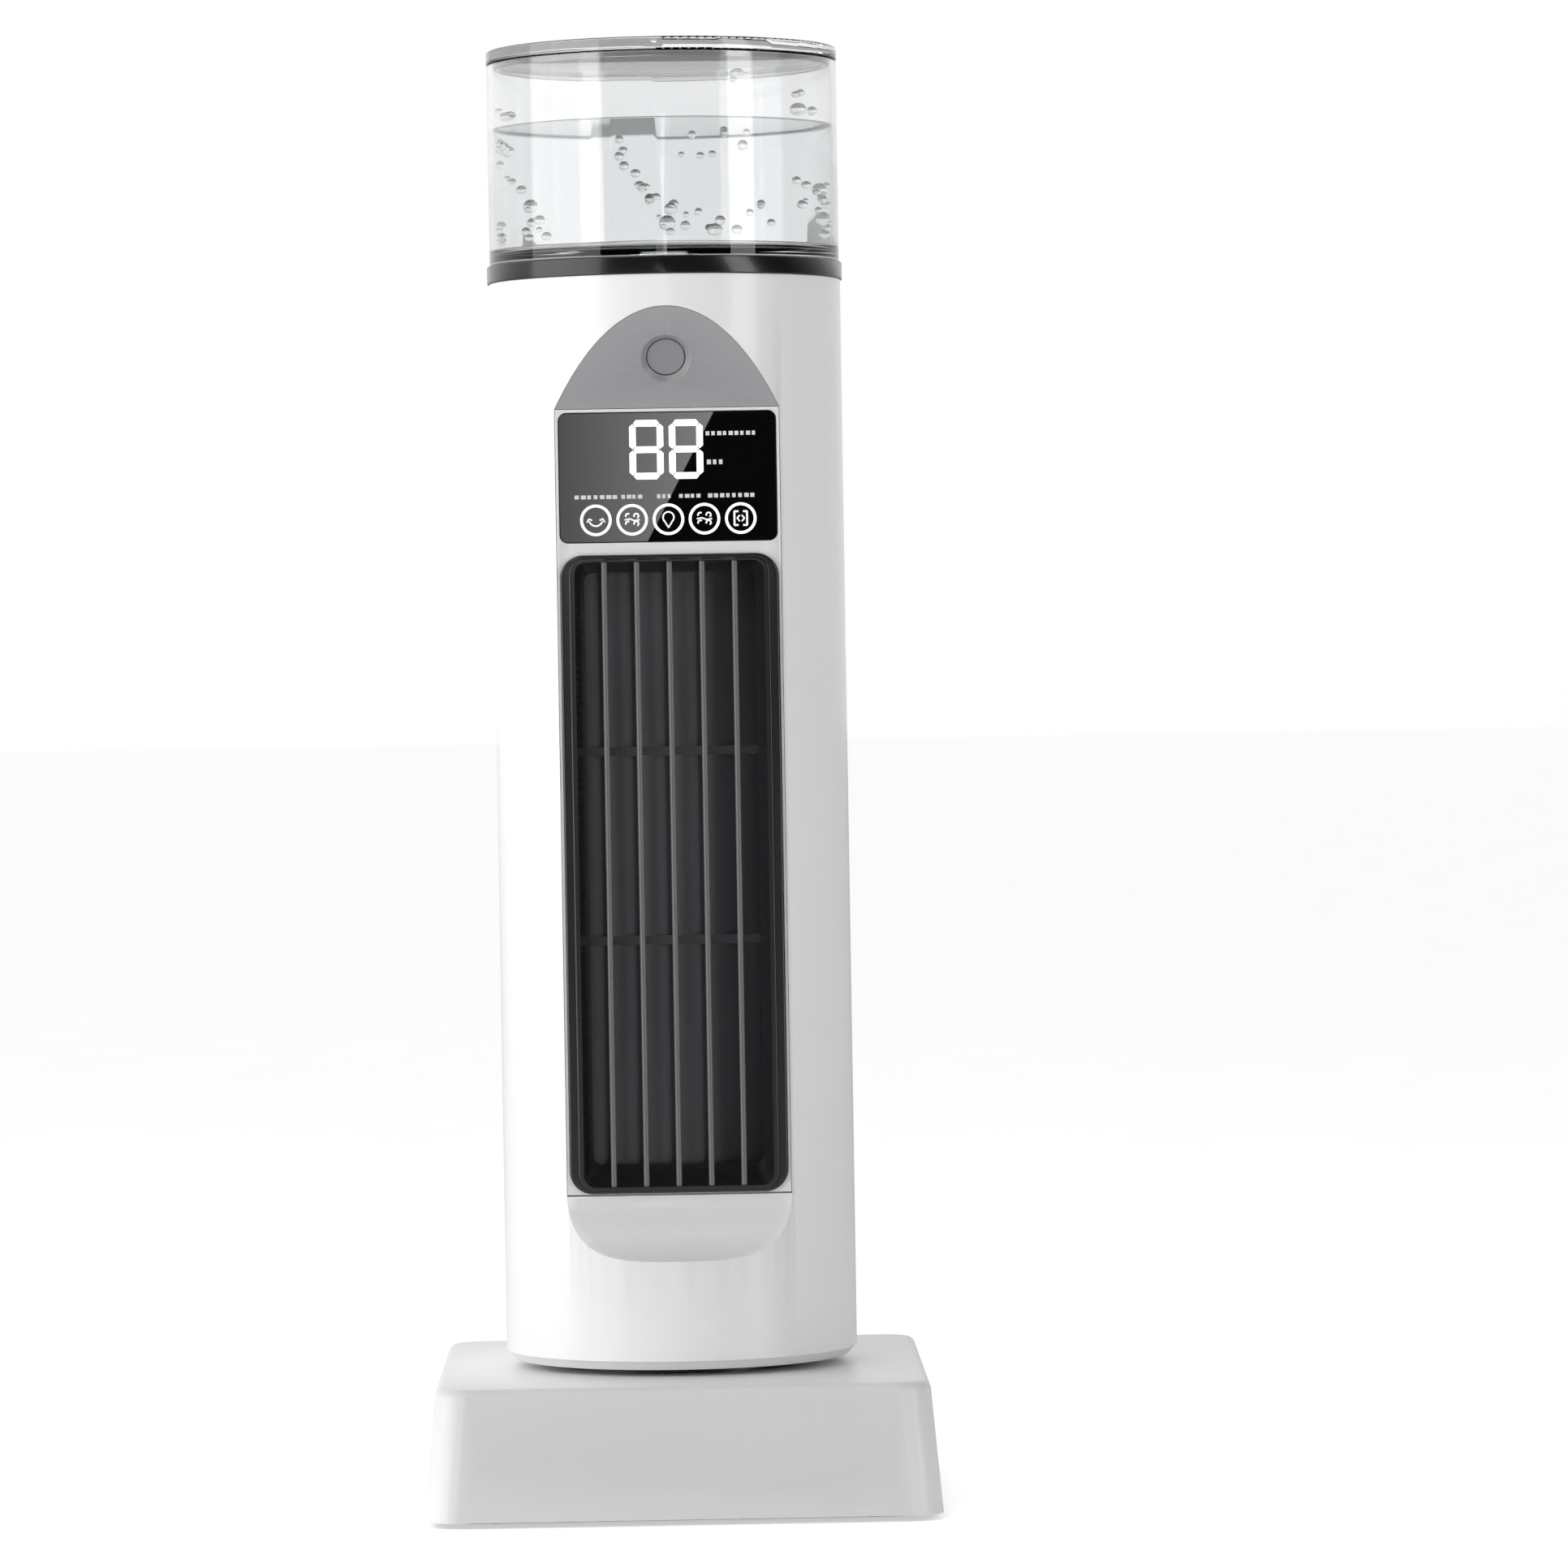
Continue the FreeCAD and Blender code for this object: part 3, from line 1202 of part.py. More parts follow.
def lid_seal():
    return tube(tank_r - tank_wall - play_gap, plug_r + thread_gap, lid_z - 1.6, lid_z - 0.5)


PIECES = [
    base_cover, base_plate, rubber_feet, base_screws, ballast_plate, cord_gland, turntable_ring,
    swing_motor, swing_motor_screws, swing_shaft, swing_pinion, swing_gear, hub_clip, swivel_hub, hub_screws,
    tip_plunger, tip_switch, tip_spring,
    column_floor, front_shell, rear_cover, shell_screws, dust_filter,
    front_bezel, display_lens, arch_panel, power_button, power_switch, outlet_grille, guide_vanes,
    heater_frame, heater_fins, ceramic_bars, thermal_cutout,
    fan_housing, housing_screws, fan_wheel, fan_motor, motor_screws, motor_shaft, wheel_axle, upper_bearing,
    power_board, control_board, led_display, ir_receiver, panel_screws,
    top_deck, atomizer, collar_ring, water_tank, valve_cap, valve_plunger, tank_lid, lid_seal,
]

os.makedirs("parts", exist_ok=True)
for make in PIECES:
    save(make.__name__, make())
print("overall height", round(lid_z + lid_thick, 2))
print("pinion centre y", round(pinion_y, 3), "gear", round(gear_z, 2), round(gear_top_z, 2))
print("gland", gland_x, round(wall_back_y, 3), round(gland_z, 2), "gland y1",
      round(wall_back_y + gland_flange_r * base_lean / base_height + thread_gap + 0.7, 3))
print("arch normal", [round(c, 5) for c in arch_normal], "button", [round(c, 2) for c in button_centre])
print("switch underside", round(tip_switch_z, 3), "tank", round(tank_z, 2), round(tank_top_z, 2))
print("face", round(face_z, 2), "grille", round(grille_z0, 2), round(grille_z1, 2), "display",
        round(display_z0, 2),
      round(display_z1, 2), "arch", round(arch_z0, 2), round(arch_z1, 2), "shell top", round(shell_top_z,
              2))
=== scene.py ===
# %% [markdown]
# # A tower heater with a water tank
# The engineering model gives every solid piece its exact shape.  This lesson adds
# what makes it look real: surfaces, printed marks, water, bubbles and studio light.

# %% load the model
import json
import math
import random

import bpy
from mathutils import Matrix, Vector


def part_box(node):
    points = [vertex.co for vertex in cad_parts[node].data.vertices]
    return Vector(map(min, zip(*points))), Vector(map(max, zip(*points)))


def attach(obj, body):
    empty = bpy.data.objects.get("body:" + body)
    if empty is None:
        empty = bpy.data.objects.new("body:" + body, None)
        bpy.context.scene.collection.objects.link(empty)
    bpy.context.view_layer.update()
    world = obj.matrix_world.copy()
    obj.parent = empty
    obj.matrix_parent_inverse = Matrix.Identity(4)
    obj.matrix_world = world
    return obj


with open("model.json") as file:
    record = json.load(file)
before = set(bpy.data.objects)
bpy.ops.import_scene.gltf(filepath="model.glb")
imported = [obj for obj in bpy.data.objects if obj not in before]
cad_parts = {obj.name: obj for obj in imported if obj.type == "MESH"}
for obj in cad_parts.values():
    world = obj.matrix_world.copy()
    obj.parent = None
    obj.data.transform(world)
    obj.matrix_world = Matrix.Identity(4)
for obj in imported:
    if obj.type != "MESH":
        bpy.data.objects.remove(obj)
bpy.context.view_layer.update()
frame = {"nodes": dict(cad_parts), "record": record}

scene = bpy.context.scene
scene.view_settings.view_transform = "Standard"
nodes = frame["nodes"]
MM = 0.001
print("pieces in the model:", len(nodes))

# %% [markdown]
# ## Smooth curves, crisp corners
# The model arrives as flat triangles.  A small modifier welds their shared points
# and shades gentle angles as one curve, while true corners stay sharp.

# %% smoothing modifier
weld_reach = 1e-6


def smoothing_group(limit_deg=32):
    group = bpy.data.node_groups.new("smooth_gentle_edges", "GeometryNodeTree")
    group.interface.new_socket("Geometry", in_out="INPUT", socket_type="NodeSocketGeometry")
    group.interface.new_socket("Geometry", in_out="OUTPUT", socket_type="NodeSocketGeometry")
    new = group.nodes.new
    start, end = new("NodeGroupInput"), new("NodeGroupOutput")
    weld, smooth, crisp = (new(kind) for kind in (
        "GeometryNodeMergeByDistance", "GeometryNodeSetShadeSmooth", "GeometryNodeSetShadeSmooth"))
    angle, compare = new("GeometryNodeInputMeshEdgeAngle"), new("ShaderNodeMath")
    weld.inputs["Distance"].default_value = weld_reach
    compare.operation = "GREATER_THAN"
    compare.inputs[1].default_value = math.radians(limit_deg)
    crisp.domain = "EDGE"
    crisp.inputs["Shade Smooth"].default_value = False
    link = group.links.new
    link(start.outputs[0], weld.inputs["Geometry"])
    link(weld.outputs["Geometry"], smooth.inputs["Geometry"])
    link(smooth.outputs["Geometry"], crisp.inputs["Geometry"])
    link(angle.outputs["Unsigned Angle"], compare.inputs[0])
    link(compare.outputs[0], crisp.inputs["Selection"])
    link(crisp.outputs["Geometry"], end.inputs[0])
    return group


smooth_edges = smoothing_group()
for piece in nodes.values():
    piece.modifiers.new("smooth", "NODES").node_group = smooth_edges
print("smoothed pieces:", len(nodes))

# %% [markdown]
# ## One shared recipe for moulded surfaces
# Real plastic is never one flat colour.  This group makes three things that every
# material can use: a soft cloudy tone, a mask of worn edges, and a fine bumpy normal.

# %% surface recipe
def surface_group():
    group = bpy.data.node_groups.new("surface_detail", "ShaderNodeTree")
    sockets = [("Cloud Scale", "NodeSocketFloat", 14.0), ("Grain Scale", "NodeSocketFloat", 900.0),
               ("Bump", "NodeSocketFloat", 0.05), ("Stretch", "NodeSocketVector", (1.0, 1.0, 1.0))]
    for name, kind, value in sockets:
        group.interface.new_socket(name, in_out="INPUT", socket_type=kind).default_value = value
    for name, kind in (("Cloud", "NodeSocketFloat"), ("Edge", "NodeSocketFloat"),
            ("Normal", "NodeSocketVector")):
        group.interface.new_socket(name, in_out="OUTPUT", socket_type=kind)
    new, link = group.nodes.new, group.links.new
    start, end = new("NodeGroupInput"), new("NodeGroupOutput")
    place, stretch = new("ShaderNodeTexCoord"), new("ShaderNodeVectorMath")
    cloud, grain, shape, bump = (new(kind) for kind in (
        "ShaderNodeTexNoise", "ShaderNodeTexNoise", "ShaderNodeNewGeometry", "ShaderNodeBump"))
    edge = new("ShaderNodeMapRange")
    stretch.operation = "MULTIPLY"
    cloud.inputs["Detail"].default_value = 4.0
    grain.inputs["Detail"].default_value = 2.0
    bump.inputs["Distance"].default_value = 0.0002
    edge.inputs["From Min"].default_value = 0.52
    edge.inputs["From Max"].default_value = 0.62
    link(place.outputs["Object"], stretch.inputs[0])
    link(start.outputs["Stretch"], stretch.inputs[1])
    link(stretch.outputs[0], cloud.inputs["Vector"])
    link(stretch.outputs[0], grain.inputs["Vector"])
    link(start.outputs["Cloud Scale"], cloud.inputs["Scale"])
    link(start.outputs["Grain Scale"], grain.inputs["Scale"])
    link(start.outputs["Bump"], bump.inputs["Strength"])
    link(grain.outputs["Fac"], bump.inputs["Height"])
    link(shape.outputs["Pointiness"], edge.inputs["Value"])
    link(cloud.outputs["Fac"], end.inputs["Cloud"])
    link(edge.outputs["Result"], end.inputs["Edge"])
    link(bump.outputs["Normal"], end.inputs["Normal"])
    return group


detail = surface_group()


def material(name, dark, light, rough, metallic=0.0, grain=900.0, bump=0.05, worn=0.12, coat=0.0,
        stretch=(1, 1, 1)):
    """A material whose colour drifts between dark and light, with lighter worn edges."""
    made = bpy.data.materials.new(name)
    made.use_nodes = True
    tree = made.node_tree
    new, link = tree.nodes.new, tree.links.new
    shader = tree.nodes["Principled BSDF"]
    recipe, tint, wear, polish = (new(kind) for kind in (
        "ShaderNodeGroup", "ShaderNodeMix", "ShaderNodeMix", "ShaderNodeMapRange"))
    recipe.node_tree = detail
    recipe.inputs["Grain Scale"].default_value = grain
    recipe.inputs["Bump"].default_value = bump
    recipe.inputs["Stretch"].default_value = stretch
    tint.data_type = wear.data_type = "RGBA"
    tint.inputs["A"].default_value = (*dark, 1)
    tint.inputs["B"].default_value = (*light, 1)
    wear.inputs["B"].default_value = (*[min(1, c * 1.15 + worn * 0.2) for c in light], 1)
    polish.inputs["To Min"].default_value = rough * 0.82
    polish.inputs["To Max"].default_value = min(1, rough * 1.22)
    shader.inputs["Metallic"].default_value = metallic
    shader.inputs["Coat Weight"].default_value = coat
    shader.inputs["Coat Roughness"].default_value = 0.06
    link(recipe.outputs["Cloud"], tint.inputs["Factor"])
    link(tint.outputs["Result"], wear.inputs["A"])
    link(recipe.outputs["Edge"], wear.inputs["Factor"])
    link(wear.outputs["Result"], shader.inputs["Base Color"])
    link(recipe.outputs["Cloud"], polish.inputs["Value"])
    link(polish.outputs["Result"], shader.inputs["Roughness"])
    link(recipe.outputs["Normal"], shader.inputs["Normal"])
    return made


def clear_material(name, colour, bend, rough):
    """Clear plastic or water: light passes and bends, with faint ripples in the surface."""
    made = bpy.data.materials.new(name)
    made.use_nodes = True
    tree = made.node_tree
    shader = tree.nodes["Principled BSDF"]
    recipe, polish = tree.nodes.new("ShaderNodeGroup"), tree.nodes.new("ShaderNodeMapRange")
    recipe.node_tree = detail
    recipe.inputs["Grain Scale"].default_value = 60.0
    recipe.inputs["Bump"].default_value = 0.02
    polish.inputs["To Min"].default_value = rough
    polish.inputs["To Max"].default_value = rough * 2
    shader.inputs["Base Color"].default_value = (*colour, 1)
    shader.inputs["IOR"].default_value = bend
    shader.inputs["Transmission Weight"].default_value = 1.0
    tree.links.new(recipe.outputs["Cloud"], polish.inputs["Value"])
    tree.links.new(polish.outputs["Result"], shader.inputs["Roughness"])
    tree.links.new(recipe.outputs["Normal"], shader.inputs["Normal"])
    return made


looks = {
    "shell_white": material("shell white", (0.80, 0.80, 0.80), (0.84, 0.84, 0.84), 0.30, coat=0.3,
            bump=0.03),
    "plinth_grey": material("plinth grey", (0.79, 0.79, 0.80), (0.83, 0.83, 0.84), 0.35, coat=0.1,
            bump=0.03),
    "panel_grey": material("panel grey", (0.27, 0.27, 0.285), (0.31, 0.31, 0.325), 0.34, bump=0.08),
    "black_gloss": material("black gloss", (0.004, 0.004, 0.005), (0.008, 0.008, 0.009), 0.05, coat=0.5,
            bump=0.004, worn=0.01),
    "black_plastic": material("black plastic", (0.012, 0.012, 0.014), (0.022, 0.022, 0.025), 0.30,
            bump=0.10, worn=0.05),
    "inner_white": material("inner white", (0.62, 0.62, 0.60), (0.70, 0.70, 0.68), 0.5, bump=0.1),
    "rubber_dark": material("dark rubber", (0.015, 0.015, 0.015), (0.03, 0.03, 0.03), 0.75, bump=0.3,
            worn=0.05),
    "steel": material("plated steel", (0.50, 0.50, 0.52), (0.62, 0.62, 0.64), 0.32, metallic=1.0,
            grain=1500, bump=0.08, stretch=(1, 1, 0.15)),
    "bronze": material("sintered bronze", (0.45, 0.28, 0.10), (0.60, 0.40, 0.17), 0.42, metallic=1.0,
            bump=0.3),
    "fins_aluminium": material("bright fins", (0.62, 0.63, 0.65), (0.76, 0.77, 0.78), 0.28,
            metallic=1.0, stretch=(0.2, 1, 1)),
    "ceramic_element": material("fired ceramic", (0.66, 0.62, 0.54), (0.78, 0.74, 0.66), 0.6, bump=0.3),
    "heat_resin": material("heat resin", (0.04, 0.038, 0.035), (0.07, 0.066, 0.06), 0.5, bump=0.15),
    "circuit_green": material("circuit green", (0.01, 0.07, 0.03), (0.02, 0.12, 0.05), 0.35, bump=0.15),
    "mist_maker": material("mist maker", (0.30, 0.31, 0.32), (0.42, 0.43, 0.44), 0.4, bump=0.1),
    "clear_silicone": clear_material("clear silicone", (0.93, 0.93, 0.93), 1.41, 0.12),
    "clear_plastic": clear_material("clear plastic", (0.935, 0.94, 0.945), 1.47, 0.015),
}
slot_of = {row["node"]: row["material_slot"] for row in frame["record"]["subparts"]}
for name, piece in nodes.items():
    piece.data.materials.clear()
    piece.data.materials.append(looks[slot_of[name]])
print("materials:", len(looks))

# %% [markdown]
# ## A few pieces with their own finish, and a painted highlight
# The frame round the display is a paler trim than the arch above it, and the guide
# vanes deep in the outlet are duller than the grille in front of them.  The grille's
# bars are the same black plastic as its frame; their lighter grey is a painted highlight.

# %% special finishes
trim = material("pale trim", (0.70, 0.70, 0.71), (0.76, 0.76, 0.77), 0.3, bump=0.05)
vane_black = material("vane black", (0.036, 0.036, 0.042), (0.058, 0.058, 0.066), 0.40, bump=0.15,
        worn=0.05)
lens_black = material("lens black", (0.0012, 0.0012, 0.0014), (0.002, 0.002, 0.0022), 0.004, bump=0.0,
        worn=0.0)
collar_black = material("lacquered collar", (0.004, 0.004, 0.005), (0.008, 0.008, 0.009), 0.22,
        coat=0.2, bump=0.004, worn=0.01)
grille_black = material("grille black", (0.012, 0.012, 0.014), (0.022, 0.022, 0.025), 0.16, bump=0.05,
        worn=0.05)
grille_low, grille_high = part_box("outlet_grille")
bars_half_width, bars_front, bars_end = 26 * MM, -50.8 * MM, 2.8 * MM
# lighter grey on the black bars: a painted highlight, not a colour of their own
bar_painted_highlight = (0.15, 0.15, 0.155, 1)


def painted_highlight_mask():
    """One on the upright bars, which carry the painted highlight, and nought on the frame round them.
    """
    group = bpy.data.node_groups.new("painted_highlight_mask", "ShaderNodeTree")
    group.interface.new_socket("Mask", in_out="OUTPUT", socket_type="NodeSocketFloat")
    new, link = group.nodes.new, group.links.new
    end, place, parts, side = (new(kind) for kind in (
        "NodeGroupOutput", "ShaderNodeTexCoord", "ShaderNodeSeparateXYZ", "ShaderNodeMath"))
    side.operation = "ABSOLUTE"
    link(place.outputs["Object"], parts.inputs[0])
    link(parts.outputs["X"], side.inputs[0])
    mask = None
    for value, test, limit in (
        (side.outputs[0], "LESS_THAN", bars_half_width),
        (parts.outputs["Y"], "LESS_THAN", bars_front),
        (parts.outputs["Z"], "GREATER_THAN", grille_low.z + bars_end),
        (parts.outputs["Z"], "LESS_THAN", grille_high.z - bars_end),
    ):
        within = new("ShaderNodeMath")
        within.operation = test
        within.inputs[1].default_value = limit
        link(value, within.inputs[0])
        if mask is None:
            mask = within.outputs[0]
            continue
        both = new("ShaderNodeMath")
        both.operation = "MULTIPLY"
        link(mask, both.inputs[0])
        link(within.outputs[0], both.inputs[1])
        mask = both.outputs[0]
    link(mask, end.inputs["Mask"])
    return group


# paint the highlight onto the bars: the grille colour turns lighter grey where the mask is one
grille_tree = grille_black.node_tree
painted_highlight_where, painted_highlight_mix = grille_tree.nodes.new("ShaderNodeGroup"), grille_tree.nodes.new("ShaderNodeMix")
painted_highlight_where.node_tree = painted_highlight_mask()
painted_highlight_mix.data_type = "RGBA"
painted_highlight_mix.inputs["B"].default_value = bar_painted_highlight
grille_shader = grille_tree.nodes["Principled BSDF"]
grille_tree.links.new(grille_shader.inputs["Base Color"].links[0].from_socket, painted_highlight_mix.inputs["A"])
grille_tree.links.new(painted_highlight_where.outputs["Mask"], painted_highlight_mix.inputs["Factor"])
grille_tree.links.new(painted_highlight_mix.outputs["Result"], grille_shader.inputs["Base Color"])
own_finish = {
    "outlet_grille": grille_black,
    "front_bezel": trim,
    "guide_vanes": vane_black,
    "display_lens": lens_black,
    "collar_ring": collar_black,
}
for name, look in own_finish.items():
    nodes[name].data.materials.clear()
    nodes[name].data.materials.append(look)
print("own finishes:", len(own_finish), "pieces")

# %% [markdown]
# ## Marks on the display
# Each mark is a thin flat shape lying on the glossy lens.  A ribbon follows a list of
# points; a ring is a ribbon that closes on itself.

# %% drawing tools
lens_low, lens_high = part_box("display_lens")
ink_y = lens_low.y - 0.00006
key_z = lens_low.z + 8.2 * MM


def flat_shape(name, faces, look, y=ink_y, thick=0.00005):
    """Thin solid sheets from outlines given as (x, z) in metres."""
    points, polygons = [], []
    for outline in faces:
        first, count = len(points), len(outline)
        points += [(x, y, z) for x, z in outline] + [(x, y + thick, z) for x, z in outline]
        polygons.append(tuple(range(first, first + count)))
        polygons.append(tuple(range(first + 2 * count - 1, first + count - 1, -1)))
        for k in range(count):
            n = (k + 1) % count
            polygons.append((first + n, first + k, first + count + k, first + count + n))
    mesh = bpy.data.meshes.new(name)
    mesh.from_pydata(points, [], polygons)
    mesh.validate()
    made = bpy.data.objects.new(name, mesh)
    scene.collection.objects.link(made)
    mesh.materials.append(look)
    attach(made, "column")
    return made


def ribbon(line, width, closed=False):
    """Four-cornered pieces that follow a line of (x, z) points with an even width."""
    pieces, count = [], len(line)
    for k in range(count if closed else count - 1):
        a, b = Vector(line[k]), Vector(line[(k + 1) % count])
        along = (b - a).normalized()
        side = Vector((-along.y, along.x)) * width / 2
        reach = along * width * 0.12
        pieces.append([tuple(a - reach - side), tuple(b + reach - side), tuple(b + reach + side),
                tuple(a - reach + side)])
    return pieces


def arc(cx, cz, r, start, end, steps=20):
    turns = [math.radians(start + (end - start) * k / steps) for k in range(steps + 1)]
    return [(cx + r * math.cos(t), cz + r * math.sin(t)) for t in turns]


print("marks lie at y =", round(ink_y, 5))

# %% [markdown]
# ## Digits, labels and touch keys
# The readout is seven bars for each digit.  The labels are plain dashes, so they read
# as small print without saying anything.

# %% glowing and printed marks
def glow(name, colour, strength):
    """Marks that glow: the light varies a little from place to place, as it does over real diodes. On
    printed marks this glow is painted light.
    """
    made = material(name, colour, colour, 0.4)
    tree = made.node_tree
    shader = tree.nodes["Principled BSDF"]
    noise, level = tree.nodes.new("ShaderNodeTexNoise"), tree.nodes.new("ShaderNodeMapRange")
    noise.inputs["Scale"].default_value = 260.0
    level.inputs["To Min"].default_value = strength * 0.8
    level.inputs["To Max"].default_value = strength * 1.15
    tree.links.new(noise.outputs["Fac"], level.inputs["Value"])
    tree.links.new(level.outputs["Result"], shader.inputs["Emission Strength"])
    shader.inputs["Emission Color"].default_value = (*colour, 1)
    return made


lit_white = glow("lit white", (0.95, 0.96, 0.98), 0.85)
# the grey labels are print, no lamp: their faint glow is painted light
printed_grey_painted_glow = glow("printed grey", (0.62, 0.62, 0.64), 0.12)

digit_z, digit_w, digit_h, stroke = lens_low.z + 33.6 * MM, 12.4 * MM, 21.6 * MM, 2.4 * MM


def segment(x0, z0, x1, z1):
    """A bar with pointed ends between two points."""
    a, b = Vector((x0, z0)), Vector((x1, z1))
    along = (b - a).normalized()
    side = Vector((-along.y, along.x)) * stroke / 2
    inner = along * (stroke / 2 + 0.0001)
    tip = along * 0.00025
    return [tuple(a + tip), tuple(a + inner - side), tuple(b - inner - side), tuple(b - tip),
            tuple(b - inner + side), tuple(a + inner + side)]


digits = []
for centre in (-7.6 * MM, 6.8 * MM):
    left, right = centre - (digit_w - stroke) / 2, centre + (digit_w - stroke) / 2
    top, low = digit_z + (digit_h - stroke) / 2, digit_z - (digit_h - stroke) / 2
    for z in (low, digit_z, top):
        digits.append(segment(left, z, right, z))
    for x in (left, right):
        digits += [segment(x, low, x, digit_z), segment(x, digit_z, x, top)]
flat_shape("readout_digits", digits, lit_white)

dashes = []
rows = [(14.0, 31.8, 39.2, 1.5, 2.1), (14.3, 21.4, 28.8, 1.7, 2.2), (-34.0, -19.0, 16.6, 1.4, 2.3),
        (-17.0, -9.0, 16.6, 1.4, 2.0),
        (-4.0, 2.5, 16.6, 1.5, 1.9), (4.0, 13.0, 16.6, 1.4, 2.1), (14.5, 31.5, 16.6, 1.5, 2.2)]
spacing = random.Random(7)
for x0, x1, rise, tall, pitch in rows:
    x, z = x0, lens_low.z + rise * MM
    while x < x1 - 0.9:
        wide = pitch * spacing.uniform(0.55, 0.85)
        dashes.append([(x * MM, z - tall * MM / 2), ((x + wide) * MM, z - tall * MM / 2),
                ((x + wide) * MM, z + tall * MM / 2), (x * MM, z + tall * MM / 2)])
        x += pitch
flat_shape("label_dashes", dashes, printed_grey_painted_glow)

keys, line = [], 0.55 * MM
for number, centre in enumerate((-26.4, -13.2, 0.0, 13.1, 26.3)):
    x = centre * MM
    keys += ribbon(arc(x, key_z, 5.22 * MM, 0, 354, 59), 1.05 * MM, closed=True)
    if number == 0:
        keys += ribbon(arc(x, key_z + 0.4 * MM, 2.5 * MM, 200, 340), line)
        for s in (-1, 1):
            tip = (x + s * 2.5 * MM, key_z + 0.5 * MM)
            keys += ribbon([(tip[0] - s * 1.1 * MM, tip[1] - 0.5 * MM), tip,
                    (tip[0] + s * 0.7 * MM, tip[1] - 1.2 * MM)], line)
    elif number in (1, 3):
        for row in (-1, 1):
            for s in (-1, 1):
                keys += ribbon(arc(x + s * 1.5 * MM, key_z + row * 1.4 * MM, 0.85 * MM, -60 * s, 200,
                        12), line)
        keys += ribbon([(x - 2.7 * MM, key_z), (x - 0.9 * MM, key_z + 0.35 * MM),
                (x + 0.9 * MM, key_z - 0.35 * MM), (x + 2.7 * MM, key_z)], line)
    elif number == 2:
        keys += ribbon(arc(x, key_z + 0.7 * MM, 2.0 * MM, -50, 230), line)
        keys += ribbon([(x - 1.3 * MM, key_z - 0.9 * MM), (x, key_z - 3.0 * MM),
                (x + 1.3 * MM, key_z - 0.9 * MM)], line)
    else:
        for s in (-1, 1):
            keys += ribbon([(x + s * 0.9 * MM, key_z + 2.5 * MM), (x + s * 2.3 * MM, key_z + 2.5 * MM),
                    (x + s * 2.3 * MM, key_z - 2.5 * MM), (x + s * 0.9 * MM,
                    key_z - 2.5 * MM)], line * 1.3)
            keys += ribbon([(x + s * 0.4 * MM, key_z + 1.1 * MM), (x + s * 1.3 * MM, key_z),
                    (x + s * 0.4 * MM, key_z - 1.1 * MM)], line)
# the key icons are print too: their glow is painted light
flat_shape("touch_keys", keys, glow("key print", (0.80, 0.80, 0.82), 0.35))
print("digit bars:", len(digits), " dashes:", len(dashes), " key pieces:", len(keys))

# %% [markdown]
# ## Water in the tank
# The water is one closed shape that fills the tank up to its surface.  It reaches a hair
# into the wall, so no thin film of air shows between the two.  It bends light very little,
# so its surface stays faint from below; a fine ring marks where it meets the wall.

# %% water
tank_low, tank_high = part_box("water_tank")
wall, floor_top, water_top = 2.2 * MM, 458.57 * MM, 506.0 * MM
water_r = tank_high.x - wall + 0.00008


def turned(name, profile, look, body, sides=160):
    """A shape spun round the column's axis from (radius, height) points."""
    points, faces = [], []
    for r, z in profile:
        points += [(r * math.cos(2 * math.pi * k / sides), r * math.sin(2 * math.pi * k / sides),
                z) for k in range(sides)]
    for ring in range(len(profile) - 1):
        for k in range(sides):
            n = (k + 1) % sides
            faces.append((ring * sides + k, ring * sides + n, (ring + 1) * sides + n,
                    (ring + 1) * sides + k))
    faces.append(tuple(range(sides - 1, -1, -1)))
    faces.append(tuple(range((len(profile) - 1) * sides, len(profile) * sides)))
    mesh = bpy.data.meshes.new(name)
    mesh.from_pydata(points, [], faces)
    mesh.materials.append(look)
    for polygon in mesh.polygons:
        polygon.use_smooth = len(polygon.vertices) == 4
    made = bpy.data.objects.new(name, mesh)
    scene.collection.objects.link(made)
    made.modifiers.new("smooth", "NODES").node_group = smooth_edges
    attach(made, body)
    return made


water_look = clear_material("water", (0.90, 0.91, 0.915), 1.002, 0.004)
water_profile = [
    (water_r - 2.8 * MM, floor_top),
    (water_r - 0.8 * MM, floor_top + 1 * MM),
    (water_r, floor_top + 3 * MM),
    (water_r, water_top),
]
water = turned("tank_water", water_profile, water_look, "tank")
bpy.ops.mesh.primitive_torus_add(
    major_radius=water_r - 0.45 * MM, minor_radius=0.3 * MM, major_segments=160, minor_segments=8,
    location=(0, 0, water_top))
water_line = bpy.context.object
water_line.name = "water_line"
water_line.data.materials.append(clear_material("water edge", (0.80, 0.81, 0.82), 1.12, 0.02))
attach(water_line, "tank")
print("water depth in mm:", round((water_top - floor_top) / MM, 1))

# %% [markdown]
# ## Bubbles
# Bubbles cling to the inside of the wall in small groups, most of them under water and
# towards the front.  A fixed seed puts them in the same places every time.

# %% bubbles
bubble_look = clear_material("bubble skin", (0.97, 0.97, 0.97), 1.26, 0.01)


